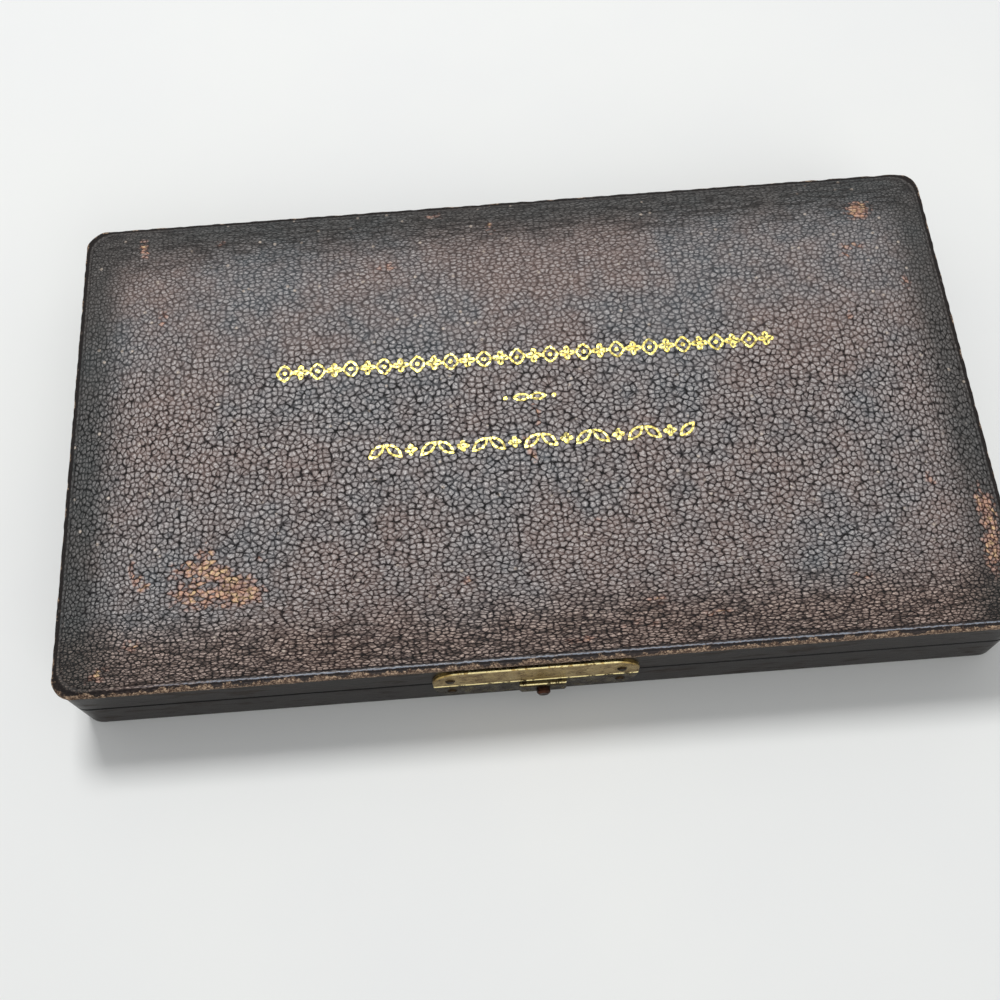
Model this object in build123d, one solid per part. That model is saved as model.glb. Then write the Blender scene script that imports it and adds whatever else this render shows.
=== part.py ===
from build123d import *

import os
from math import cos, pi

# Hemocytometer set in its hinged pocket case. Base and lid are mitred wooden rails covered in thin
# leather, and the lid has a padded, crowned top. Two velvet-covered rests in the base hold the ruled
# counting chamber, its cover glasses and the two diluting pipettes. A push-button catch at the front
# holds the lid shut, and two butt hinges carry it at the back.
# Frame: millimetres, X along the case, -Y its front, +Z up, origin in the middle of the underside.

# Case
case_length = 165.0
case_depth = 95.0
corner_radius = 3.9
base_height = 9.5
seam_gap = 0.2
lid_side_height = 7.6
side_setback = 0.3
leather = 0.7
bottom_sheet = 0.5
bottom_sheet_margin = 1.2
turn_under = 6.0
rail_thickness = 4.5
base_board = 1.6
lid_board = 1.6
rim_softening = 0.3
foot_softening = 0.5
smallest_corner = 0.4

# Crowned top of the lid
crown_width = 15.0
crown_rise = 1.8
crown_edge = 0.45
crown_swell = 2.4
crown_fullness = 0.77
crown_corner_growth = 0.55
crown_steps = 5
crown_step_growth = 1.6
wadding_inset = 2.0

# Linings
lining = 0.6
lining_below_rim = 0.2
pad_card = 0.6
pad_thickness = 1.2
pad_clearance = 0.5
pad_roundness = 0.5

# Hinges
hinge_spacing = 100.0
hinge_length = 22.0
hinge_knuckles = 3
knuckle_gap = 0.15
barrel_radius = 1.3
barrel_sink = 0.9
barrel_clearance = 0.25
hinge_pin_radius = 0.6
hinge_pin_clearance = 0.05
hinge_pin_overhang = 0.3
hinge_end_clearance = 0.3
back_bevel = 1.2
leaf_width = 4.0
leaf_thickness = 0.8
leaf_clearance = 0.1
screw_spacing = 14.0
screw_inset = 2.7
screw_radius = 0.45
screw_head_radius = 0.95
screw_length = 4.0
hole_clearance = 0.05

# Catch
plate_offset = -1.2
lid_plate_width = 35.6
lid_plate_height = 6.7
lid_plate_corner = 5.0
base_plate_width = 35.6
base_plate_height = 5.6
base_plate_corner = 4.6
plate_thickness = 0.7
plate_edge = 0.2
plate_to_rim = 0.05
plate_pin_spacing = 29.4
plate_pin_from_rim = 2.9
plate_pin_radius = 0.45
plate_pin_head_radius = 0.9
plate_pin_head_height = 0.3
plate_pin_face_radius = 0.6
plate_pin_length = 3.6
guard_width = 8.2
guard_height = 3.8
guard_proud = 0.8
guard_edge = 0.35
button_radius = 1.2
button_clearance = 0.06
button_proud = 1.1
button_roundness = 0.35
button_travel = 0.65
button_flange_radius = 1.5
button_flange_thickness = 0.3
button_flange_clearance = 0.1
button_seat_gap = 0.05
button_stem_radius = 0.8
housing_wall = 0.4
housing_end_wall = 1.3
housing_back_skin = 0.35
tongue_width = 6.0
tongue_thickness = 0.7
tongue_play = 0.3
tongue_side_play = 0.35
tongue_end_play = 0.3
tongue_hold = 4.3
tongue_below_stem = 1.9
tongue_fork = 2.6
tongue_corner = 0.5
hook_width = 4.6
hook_height = 1.2
hook_thickness = 0.5
hook_gap = 0.15
spring_thickness = 0.3
spring_height = 1.6
spring_play = 0.05

# Counting chamber and cover glasses
chamber_length = 75.2
chamber_width = 33.0
chamber_body = 3.0
chamber_ends_rise = 0.5
support_rise = 1.0
counting_depth = 0.1
support_length = 5.0
moat_width = 2.5
platform_length = 12.0
platform_reach = 13.0
chamber_edge = 0.3
cover_length = 26.0
cover_width = 20.0
cover_thickness = 0.5

# Velvet rests
rest_below_rim = 1.1
floor_velvet = 0.6
left_rest_length = 47.4
finger_gap = 24.0
right_rest_length = 41.0
rest_roundness = 0.6
recess_clearance = 0.4
chamber_from_left = 26.8
chamber_from_front = 4.9
chamber_sunk = 3.9
spare_from_left = 3.0
spare_sunk = 0.9
spare_notch_radius = 5.0
spare_notch_sunk = 2.8

# Diluting pipettes
pipette_length = 118.0
pipette_from_left = 5.0
pipette_axis_rise = 0.4
red_pipette_from_back = 8.4
pipette_spacing = 13.0
stem_radius = 2.6
tip_radius = 0.8
tip_taper = 12.0
olive_length = 9.0
olive_end_radius = 1.7
bulb_wall = 0.8
bulb_shoulder = 5.0
shoulder_steps = 3
red_bulb_start = 68.0
red_bulb_length = 27.0
red_bulb_radius = 4.4
red_bore = 0.3
white_bulb_start = 68.0
white_bulb_length = 17.0
white_bulb_radius = 3.9
white_bore = 0.4
bead_size = 2.2
bead_edge = 0.4
bead_gap = 0.1
groove_clearance = 0.3

# Levels and faces that follow from the sizes above
wood_inset = side_setback + leather
cavity_inset = wood_inset + rail_thickness
lined_inset = cavity_inset + lining
wood_bottom = bottom_sheet + leather
floor_level = wood_bottom + base_board
velvet_level = floor_level + floor_velvet
base_rim = base_height
lid_rim = base_rim + seam_gap
seam = base_rim + seam_gap / 2
lid_top = lid_rim + lid_side_height
lid_ceiling = lid_top - lid_board
rest_top = base_rim - rest_below_rim
front_face = side_setback - case_depth / 2
back_face = case_depth / 2 - side_setback
wood_front = front_face + leather
cavity_front = wood_front + rail_thickness
lined_left = lined_inset - case_length / 2
lined_front = lined_inset - case_depth / 2
hinge_y = back_face - barrel_sink
plate_front = front_face - plate_thickness
guard_front = plate_front - guard_proud
stem_z = base_rim - leather - housing_wall - button_flange_clearance - button_flange_radius
pipette_z = rest_top + pipette_axis_rise
chamber_bottom = rest_top - chamber_sunk
chamber_x = lined_left + chamber_from_left + chamber_length / 2
chamber_y = lined_front + chamber_from_front + chamber_width / 2
spare_x = lined_left + spare_from_left + cover_width / 2
pipette_tip_x = lined_left + pipette_from_left
red_pipette_y = -lined_front - red_pipette_from_back
white_pipette_y = red_pipette_y - pipette_spacing
hinge_centres = {"left": -hinge_spacing / 2, "right": hinge_spacing / 2}
far = 2 * (case_length + case_depth)


def box_between(low, high):
    """Box from its low corner to its high corner."""
    size = [b - a for a, b in zip(low, high)]
    middle = [(a + b) / 2 for a, b in zip(low, high)]
    return Pos(*middle) * Box(*size)


def rod_y(radius, x, z, start, end):
    """Cylinder along Y between two places."""
    return Pos(x, (start + end) / 2, z) * Rot(90, 0, 0) * Cylinder(radius, end - start)


def rod_x(radius, y, z, start, end):
    """Cylinder along X between two places."""
    return Pos((start + end) / 2, y, z) * Rot(0, 90, 0) * Cylinder(radius, end - start)


def slab(inset, low, high):
    """Rounded plate, inset from the case's outline, between two levels."""
    radius = max(corner_radius - inset, smallest_corner)
    outline = RectangleRounded(case_length - 2 * inset, case_depth - 2 * inset, radius)
    return extrude(Pos(0, 0, low) * outline, high - low)


def to_lid(shape):
    """Mirror a piece of the base across the seam."""
    return mirror(shape, Plane.XY.offset(seam))


def as_group(solids):
    """Separate solids that share one node."""
    return Compound(children=list(solids))


def bevel_cutter(depth_in):
    """Prism that bevels the back rim of the base, depth_in below the leather."""
    leg = back_bevel + depth_in * 2 ** 0.5
    prism = extrude(Plane.YZ * Polygon((-leg, 0), (0, -leg), (leg, leg), align=None), far / 2, both=True)
    return Pos(0, back_face, base_rim) * prism


def base_form(depth_in, low):
    """Outside form of the base, depth_in below its leather, from a low level to the rim."""
    form = slab(side_setback + depth_in, low, base_rim - depth_in)
    if depth_in == 0:
        form = chamfer(form.faces().sort_by(Axis.Z)[-1].edges(), rim_softening)
    return form - bevel_cutter(depth_in)


def mitre_prism(side):
    """Prism over one rail, cut at 45 degrees from the corners of the case."""
    half_x, half_y, deep = case_length / 2, case_depth / 2, 2 * cavity_inset
    if side in ("front", "back"):
        way = -1 if side == "front" else 1
        outline = [(-half_x, way * half_y), (half_x, way * half_y),
                   (half_x - deep, way * (half_y - deep)), (deep - half_x, way * (half_y - deep))]
    else:
        way = -1 if side == "left" else 1
        outline = [(way * half_x, -half_y), (way * half_x, half_y),
                   (way * (half_x - deep), half_y - deep), (way * (half_x - deep), deep - half_y)]
    face = make_face(Polyline(*outline, close=True))
    return extrude(face, 2 * lid_top, both=True)


def hinge_recess(centre):
    """Room for one hinge's barrel and both leaves, to be cut from everything round it."""
    half = hinge_length / 2
    ends = half + hinge_pin_overhang + hinge_end_clearance
    barrel = rod_x(barrel_radius + barrel_clearance, hinge_y, seam, centre - ends, centre + ends)
    leaves = box_between(
        (centre - half - leaf_clearance, hinge_y - leaf_width - leaf_clearance,
         base_rim - leaf_thickness),
        (centre + half + leaf_clearance, hinge_y, lid_rim + leaf_thickness))
    return barrel + leaves


def screw_places(centre):
    """Places of the two screws of a leaf."""
    return [(centre + way * screw_spacing / 2, hinge_y - screw_inset) for way in (-1, 1)]


def screw_shank(x, y, clearance):
    """Shank of a countersunk screw, down into the back rail of the base, or the hole for it."""
    shank = Cylinder(screw_radius + clearance, screw_length + clearance,
                     align=(Align.CENTER, Align.CENTER, Align.MAX))
    return Pos(x, y, base_rim) * shank


def screw_head(x, y):
    """Countersunk head, flush with the face of the leaf."""
    head = Cone(screw_radius, screw_head_radius, leaf_thickness,
                align=(Align.CENTER, Align.CENTER, Align.MAX))
    return Pos(x, y, base_rim) * head


def hinge_screw(x, y):
    """Countersunk screw."""
    return screw_shank(x, y, 0) + screw_head(x, y)


def knuckle_span(centre, index):
    """Start and end along X of one knuckle."""
    pitch = hinge_length / hinge_knuckles
    start = centre - hinge_length / 2 + index * pitch
    return start + knuckle_gap / 2, start + pitch - knuckle_gap / 2


def hinge_leaf(centre, first):
    """Lower leaf with every second knuckle, counted from first."""
    half = hinge_length / 2
    leaf = box_between((centre - half, hinge_y - leaf_width, base_rim - leaf_thickness),
                       (centre + half, hinge_y - barrel_radius - barrel_clearance, base_rim))
    for index in range(first, hinge_knuckles, 2):
        start, end = knuckle_span(centre, index)
        leaf += rod_x(barrel_radius, hinge_y, seam, start, end)
        leaf += box_between((start, hinge_y - leaf_width, base_rim - leaf_thickness),
                            (end, hinge_y, base_rim))
    leaf -= rod_x(hinge_pin_radius + hinge_pin_clearance, hinge_y, seam,
                  centre - hinge_length, centre + hinge_length)
    for x, y in screw_places(centre):
        leaf -= screw_head(x, y)
    return leaf


def catch_plate(width, height, corner):
    """Plate of the base half, straight along the rim, with two rounded lower corners."""
    top = base_rim - plate_to_rim
    half = width / 2
    outline = FilletPolyline((-half, 0, top), (-half, 0, top - height), (half, 0, top - height),
                             (half, 0, top), radius=corner)
    rim_edge = Line((half, 0, top), (-half, 0, top))
    face = make_face(outline + rim_edge)
    plate = Pos(plate_offset, plate_front, 0) * extrude(face, plate_thickness, dir=(0, 1, 0))
    return chamfer(plate.faces().sort_by(Axis.Y)[0].edges(), plate_edge)


def pin_shank(x, z, clearance):
    """Shank of a pin through a catch plate into the rail behind it, or the hole for it."""
    return rod_y(plate_pin_radius + clearance, x, z, plate_front, plate_front + plate_pin_length)


def pin_places(z):
    """Places of the two pins of a catch plate."""
    return [(plate_offset + way * plate_pin_spacing / 2, z) for way in (-1, 1)]


def round_headed_pin(x, z):
    """Pin with its low, tapered head on the face of the plate."""
    head = Pos(x, plate_front, z) * Rot(90, 0, 0) * Cone(
        plate_pin_head_radius, plate_pin_face_radius, plate_pin_head_height,
        align=(Align.CENTER, Align.CENTER, Align.MIN))
    return head + pin_shank(x, z, 0)


# Catch levels and depths, from the front of the plate inwards
base_pin_z = base_rim - plate_pin_from_rim
lid_pin_z = lid_rim + plate_pin_from_rim
flange_front = front_face + button_seat_gap
flange_back = flange_front + button_flange_thickness
tongue_front = flange_back + button_travel + tongue_play
tongue_back = tongue_front + tongue_thickness
hook_front = tongue_back + hook_gap
hook_back = hook_front + hook_thickness
housing_back = cavity_front - housing_back_skin
housing_inner_back = housing_back - housing_wall
tongue_tip = stem_z - tongue_below_stem
housing_bottom = tongue_tip - tongue_end_play - housing_wall
housing_inner_half = tongue_width / 2 + tongue_side_play


def housing_form(shrink):
    """Block of the catch housing, let into the front rail from outside."""
    half = housing_inner_half + (1 - shrink) * housing_end_wall
    top = base_rim - leather - shrink * housing_wall
    return box_between((-half, front_face - shrink, housing_bottom + shrink * housing_wall),
                       (half, housing_back - shrink * housing_wall, top))


def tongue_room(play, low, high):
    """Room for the tongue between two levels, with play all round it."""
    half = tongue_width / 2 + (tongue_side_play if play else 0)
    return box_between((-half, tongue_front - play, low), (half, tongue_back + play, high))


# Base: board, rails, leather and linings
base_cavity = slab(cavity_inset, wood_bottom, lid_top)
base_hinge_recesses = [hinge_recess(x) for x in hinge_centres.values()]
base_screws = [place for x in hinge_centres.values() for place in screw_places(x)]
tongue_slot = tongue_room(tongue_play, stem_z, lid_rim)
base_wood = base_form(leather, wood_bottom) - base_cavity
base_wood -= base_hinge_recesses
base_wood -= [screw_shank(x, y, hole_clearance) for x, y in base_screws]
base_wood -= [pin_shank(x, z, hole_clearance) for x, z in pin_places(base_pin_z)]
base_wood -= housing_form(0)
base_wood -= tongue_slot

base_skin = base_form(0, bottom_sheet)
base_skin = chamfer(base_skin.faces().sort_by(Axis.Z)[0].edges(), foot_softening)
base_skin -= base_form(leather, wood_bottom)
base_skin -= slab(wood_inset + turn_under, 0, wood_bottom)
base_skin -= base_cavity
base_skin -= base_hinge_recesses
base_skin -= [pin_shank(x, z, hole_clearance) for x, z in pin_places(base_pin_z)]
base_skin -= housing_form(0)
base_skin -= tongue_slot

nodes = {}
nodes["base_side_leather"] = base_skin
nodes["base_bottom_leather"] = (slab(bottom_sheet_margin, 0, bottom_sheet)
                                + slab(wood_inset + turn_under, bottom_sheet, wood_bottom))
nodes["base_floor_board"] = slab(cavity_inset, wood_bottom, floor_level)
for side in ("front", "back", "left", "right"):
    nodes[f"base_{side}_rail"] = base_wood & mitre_prism(side)
nodes["base_wall_lining"] = (slab(cavity_inset, floor_level, base_rim - lining_below_rim)
                             - slab(lined_inset, floor_level, base_rim))
nodes["base_floor_velvet"] = slab(lined_inset, floor_level, velvet_level)

# Hinges
for name, centre in hinge_centres.items():
    nodes[f"hinge_{name}_lower_leaf"] = hinge_leaf(centre, 0)
    nodes[f"hinge_{name}_upper_leaf"] = to_lid(hinge_leaf(centre, 1))
    nodes[f"hinge_{name}_pin"] = rod_x(hinge_pin_radius, hinge_y, seam,
                                       centre - hinge_length / 2 - hinge_pin_overhang,
                                       centre + hinge_length / 2 + hinge_pin_overhang)
lower_screws = [hinge_screw(x, y) for x, y in base_screws]
nodes["hinge_lower_screws"] = as_group(lower_screws)
nodes["hinge_upper_screws"] = as_group([to_lid(screw) for screw in lower_screws])

# Lid: board, rails, leather, crowned top, linings and pad
lid_wood = to_lid(base_form(leather, 2 * seam - lid_top)) - slab(cavity_inset, 0, 2 * lid_top)
lid_wood -= base_hinge_recesses
lid_wood -= [to_lid(screw_shank(x, y, hole_clearance)) for x, y in base_screws]
lid_wood -= [pin_shank(x, z, hole_clearance) for x, z in pin_places(lid_pin_z)]
tongue_top = lid_rim + tongue_hold
tongue_mortise = tongue_room(0, lid_rim, tongue_top)
lid_wood -= tongue_mortise

lid_skin = to_lid(base_form(0, 2 * seam - lid_top) - base_form(leather, 2 * seam - lid_top))
lid_skin -= slab(cavity_inset, 0, 2 * lid_top)
lid_skin -= base_hinge_recesses
lid_skin -= [pin_shank(x, z, hole_clearance) for x, z in pin_places(lid_pin_z)]
lid_skin -= tongue_mortise

nodes["lid_side_leather"] = lid_skin
nodes["lid_board"] = slab(cavity_inset, lid_ceiling, lid_top)
for side in ("front", "back", "left", "right"):
    nodes[f"lid_{side}_rail"] = lid_wood & mitre_prism(side)


def crown_height(inset):
    """Height of the crowned top above the board, at a distance in from its edge."""
    share = min(inset / crown_width, 1.0)
    return crown_edge + crown_rise * (1 - (1 - share) ** crown_swell) ** crown_fullness


def crown(start, sink):
    """Crowned form on the board: upright edge, swelling sides and flat middle."""
    sections = []
    for step in range(crown_steps + 1):
        inset = start + (crown_width - start) * (step / crown_steps) ** crown_step_growth
        radius = corner_radius + crown_corner_growth * inset
        outline = RectangleRounded(case_length - 2 * inset, case_depth - 2 * inset, radius)
        sections.append(Pos(0, 0, lid_top + crown_height(inset) - sink) * outline)
    edge = extrude(sections[0], sink - crown_height(start))
    return edge + loft(sections, ruled=True)


wadding = crown(wadding_inset, leather)
nodes["lid_wadding"] = wadding
nodes["lid_top_leather"] = crown(0, 0) - wadding
nodes["lid_wall_lining"] = (slab(cavity_inset, lid_rim + lining_below_rim, lid_ceiling)
                            - slab(lined_inset, lid_rim, lid_ceiling))
card_level = lid_ceiling - pad_card
nodes["lid_pad_card"] = slab(lined_inset, card_level, lid_ceiling)
pad = slab(lined_inset + pad_clearance, card_level - pad_thickness, card_level)
nodes["lid_pad"] = fillet(pad.faces().sort_by(Axis.Z)[0].edges(), pad_roundness)

# Catch
base_plate = catch_plate(base_plate_width, base_plate_height, base_plate_corner)
button_bore = rod_y(button_radius + button_clearance, 0, stem_z, guard_front - button_proud, wood_front)
base_plate -= button_bore
base_plate -= [pin_shank(x, z, 0) for x, z in pin_places(base_pin_z)]
nodes["catch_base_plate"] = base_plate
lid_plate = to_lid(catch_plate(lid_plate_width, lid_plate_height, lid_plate_corner))
lid_plate -= [pin_shank(x, z, 0) for x, z in pin_places(lid_pin_z)]
nodes["catch_lid_plate"] = lid_plate
nodes["catch_base_pins"] = as_group([round_headed_pin(x, z) for x, z in pin_places(base_pin_z)])
nodes["catch_lid_pins"] = as_group([round_headed_pin(x, z) for x, z in pin_places(lid_pin_z)])

guard = box_between((-guard_width / 2, guard_front, stem_z - guard_height / 2),
                    (guard_width / 2, plate_front, stem_z + guard_height / 2))
guard = chamfer(guard.faces().sort_by(Axis.Y)[0].edges(), guard_edge)
nodes["catch_button_guard"] = guard - button_bore

housing = housing_form(0) - housing_form(1) - tongue_slot
nodes["catch_housing"] = housing

button = rod_y(button_radius, 0, stem_z, guard_front - button_proud, flange_front)
button = chamfer(button.faces().sort_by(Axis.Y)[0].edges(), button_roundness)
button += rod_y(button_flange_radius, 0, stem_z, flange_front, flange_back)
button += rod_y(button_stem_radius, 0, stem_z, flange_back, hook_front)
button += box_between((-hook_width / 2, hook_front, stem_z - hook_height / 2),
                      (hook_width / 2, hook_back, stem_z + hook_height / 2))
nodes["catch_button"] = button

spring_half = housing_inner_half - spring_play
spring_arc = ThreePointArc((-spring_half, housing_inner_back - spring_thickness, 0),
                           (0, hook_back + spring_play, 0),
                           (spring_half, housing_inner_back - spring_thickness, 0))
spring_back = ThreePointArc((spring_half, housing_inner_back, 0),
                            (0, hook_back + spring_play + spring_thickness, 0),
                            (-spring_half, housing_inner_back, 0))
spring_ends = [Line(spring_arc @ 1, spring_back @ 0), Line(spring_back @ 1, spring_arc @ 0)]
spring_face = make_face(Curve() + [spring_arc, spring_back] + spring_ends)
nodes["catch_spring"] = extrude(Pos(0, 0, stem_z - spring_height / 2) * spring_face, spring_height)

tongue = tongue_room(0, tongue_tip, tongue_top)
fork_top = stem_z + tongue_fork / 2
tongue -= box_between((-tongue_fork / 2, tongue_front, tongue_tip), (tongue_fork / 2, tongue_back, fork_top))
tip_edges = tongue.edges().filter_by(Axis.Y).group_by(Axis.Z)[0]
nodes["catch_tongue"] = chamfer(tip_edges, tongue_corner)


def rest_block(start, end):
    """Velvet-covered block across the case, with its upper edges rounded."""
    block = slab(lined_inset, velvet_level, rest_top)
    block &= box_between((start, -case_depth, 0), (end, case_depth, lid_top))
    return fillet(block.faces().sort_by(Axis.Z)[-1].edges(), rest_roundness)


def recess(x, y, length, width, sunk):
    """Room for a flat glass in the top of the rests."""
    half_x = length / 2 + recess_clearance
    half_y = width / 2 + recess_clearance
    return box_between((x - half_x, y - half_y, rest_top - sunk), (x + half_x, y + half_y, lid_top))


def bulb_outline(start, length, radius, end_radius):
    """Half outline of a bulb: a straight middle between two shoulders that follow half a cosine wave."""
    rise = [(1 - cos(pi * step / shoulder_steps)) / 2 for step in range(shoulder_steps + 1)]
    near = [(start + bulb_shoulder * step / shoulder_steps, end_radius + (radius - end_radius) * share)
            for step, share in enumerate(rise)]
    return near + [(2 * start + length - x, r) for x, r in reversed(near)]


def pipette(y, start, length, radius, bore):
    """Glass pipette: tapered tip, stem, hollow bulb, and a stem with a tapered end for its tube."""
    outer = [(0, tip_radius), (tip_taper, stem_radius)]
    outer += bulb_outline(start, length, radius, stem_radius)
    outer += [(pipette_length - olive_length, stem_radius), (pipette_length, olive_end_radius)]
    inner = [(0, bore)]
    inner += bulb_outline(start + bulb_wall, length - 2 * bulb_wall, radius - bulb_wall, bore)
    inner += [(pipette_length, bore)]
    outline = Plane.XZ * Polyline(*outer, *reversed(inner), close=True)
    return Pos(pipette_tip_x, y, pipette_z) * revolve(make_face(outline), Axis.X)


def pipette_room(y, start, length, radius):
    """Groove that the pipette lies in, open above its axis."""
    ends = (pipette_tip_x - recess_clearance, pipette_tip_x + pipette_length)
    stem = stem_radius + groove_clearance
    bulb = radius + groove_clearance
    bulb_ends = (pipette_tip_x + start - groove_clearance,
                 pipette_tip_x + start + length + groove_clearance)
    return rod_x(stem, y, pipette_z, *ends) + rod_x(bulb, y, pipette_z, *bulb_ends)


def bead(y, start, length, radius):
    """Mixing bead, a small block with its edges ground off, at the bottom of the bulb."""
    block = Box(bead_size, bead_size, bead_size)
    block = chamfer(block.edges(), bead_edge)
    middle = pipette_tip_x + start + length / 2
    return Pos(middle, y, pipette_z - radius + bulb_wall + bead_gap + bead_size / 2) * block


# Rests, with the recesses for the chamber, the spare cover glass and the pipettes
red = (red_pipette_y, red_bulb_start, red_bulb_length, red_bulb_radius)
white = (white_pipette_y, white_bulb_start, white_bulb_length, white_bulb_radius)
recesses = [recess(chamber_x, chamber_y, chamber_length, chamber_width, chamber_sunk),
            recess(spare_x, chamber_y, cover_width, cover_length, spare_sunk),
            pipette_room(*red), pipette_room(*white)]
spare_notch = Pos(spare_x, chamber_y + cover_length / 2, rest_top - spare_notch_sunk) * Cylinder(
    spare_notch_radius, lid_top, align=(Align.CENTER, Align.CENTER, Align.MIN))
left_rest_end = lined_left + left_rest_length
right_rest_start = left_rest_end + finger_gap
nodes["left_velvet_rest"] = rest_block(lined_left, left_rest_end) - recesses - spare_notch
nodes["right_velvet_rest"] = rest_block(right_rest_start, right_rest_start + right_rest_length) - recesses

nodes["red_cell_pipette"] = pipette(*red, red_bore)
nodes["red_cell_bead"] = bead(*red)
nodes["white_cell_pipette"] = pipette(*white, white_bore)
nodes["white_cell_bead"] = bead(*white)


def cover_glass(x, y, low, along_x, along_y):
    """Ground cover glass."""
    return Pos(x, y, low + cover_thickness / 2) * Box(along_x, along_y, cover_thickness)


def counting_chamber():
    """Thick glass slide: raised ends, two ribs for the cover glass, and two ruled platforms in a moat."""
    body_top = chamber_bottom + chamber_body
    half_x, half_y = chamber_length / 2, chamber_width / 2
    glass = box_between((-half_x, -half_y, chamber_bottom), (half_x, half_y, body_top))
    rib_start = platform_length / 2 + moat_width
    rib_end = rib_start + support_length
    platform_top = body_top + support_rise - counting_depth
    for way in (-1, 1):
        near, out = sorted((way * rib_start, way * rib_end))
        glass += box_between((near, -half_y, body_top), (out, half_y, body_top + support_rise))
        near, out = sorted((way * rib_end, way * half_x))
        glass += box_between((near, -half_y, body_top), (out, half_y, body_top + chamber_ends_rise))
        near, out = sorted((way * moat_width / 2, way * platform_reach))
        glass += box_between((-platform_length / 2, near, body_top),
                             (platform_length / 2, out, platform_top))
    glass = chamfer(glass.edges().filter_by(Axis.Z).group_by(lambda e: round(abs(e.center().X), 3))[-1],
                    chamber_edge)
    return Pos(chamber_x, chamber_y, 0) * glass


nodes["counting_chamber"] = counting_chamber()
cover_level = chamber_bottom + chamber_body + support_rise
nodes["chamber_cover_glass"] = cover_glass(chamber_x, chamber_y, cover_level, cover_length, cover_width)
nodes["spare_cover_glass"] = cover_glass(spare_x, chamber_y, rest_top - spare_sunk, cover_width, cover_length)

os.makedirs("parts", exist_ok=True)
for name, shape in nodes.items():
    export_step(shape, f"parts/{name}.step")
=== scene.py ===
from math import cos, pi, radians, sin, tau

import bmesh
import bpy
import numpy as np
from mathutils import Matrix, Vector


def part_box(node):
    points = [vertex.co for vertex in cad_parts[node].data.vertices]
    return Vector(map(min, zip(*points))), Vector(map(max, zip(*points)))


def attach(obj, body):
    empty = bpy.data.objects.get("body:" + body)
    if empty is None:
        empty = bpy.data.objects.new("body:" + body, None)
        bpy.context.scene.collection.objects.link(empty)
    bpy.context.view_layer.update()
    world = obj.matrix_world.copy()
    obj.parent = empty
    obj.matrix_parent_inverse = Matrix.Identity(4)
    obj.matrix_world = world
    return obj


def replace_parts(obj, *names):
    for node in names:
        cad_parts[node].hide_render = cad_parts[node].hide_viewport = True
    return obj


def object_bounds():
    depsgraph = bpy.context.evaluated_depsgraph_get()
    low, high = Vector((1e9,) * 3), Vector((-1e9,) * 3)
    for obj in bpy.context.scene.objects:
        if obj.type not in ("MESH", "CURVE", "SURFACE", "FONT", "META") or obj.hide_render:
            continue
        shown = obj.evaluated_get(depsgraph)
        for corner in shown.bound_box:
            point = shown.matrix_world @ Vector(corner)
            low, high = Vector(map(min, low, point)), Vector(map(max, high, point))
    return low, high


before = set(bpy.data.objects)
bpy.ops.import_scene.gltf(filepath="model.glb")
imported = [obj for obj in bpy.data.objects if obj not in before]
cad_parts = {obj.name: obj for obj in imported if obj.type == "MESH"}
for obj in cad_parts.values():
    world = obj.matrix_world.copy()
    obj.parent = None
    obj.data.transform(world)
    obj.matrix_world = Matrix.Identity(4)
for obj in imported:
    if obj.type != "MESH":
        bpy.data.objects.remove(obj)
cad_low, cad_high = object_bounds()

# Looks of a hemocytometer set in its leather-covered pocket case. Lengths are in millimetres, in the
# same frame as the solids: X along the case, -Y its front, +Z up. Meshes are written in metres.

MM = 0.001

# Top leather of the lid
crown_width = 15.0
crown_rise = 1.8
crown_edge = 0.45
crown_swell = 2.4
crown_fullness = 0.77
crown_corner = 3.9
crown_corner_growth = 0.55
leather_thickness = 0.7
wadding_inset = 2.0
edge_rounding = 0.3
edge_lip = 0.12
edge_fray = 0.07
tooling_inset = 1.12
tooling_groove = 0.4
tooling_width = 0.17
tooling_depth = 0.15
tooling_ridge = 0.05
tooling_front = -39.0
top_sag = 0.05
top_unevenness = 0.018
border_stretch = (0.9, 2.1)
border_reach = 11.0
grain_cell = 1.12
grain_crease = 0.105
grain_depth = 0.16

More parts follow.
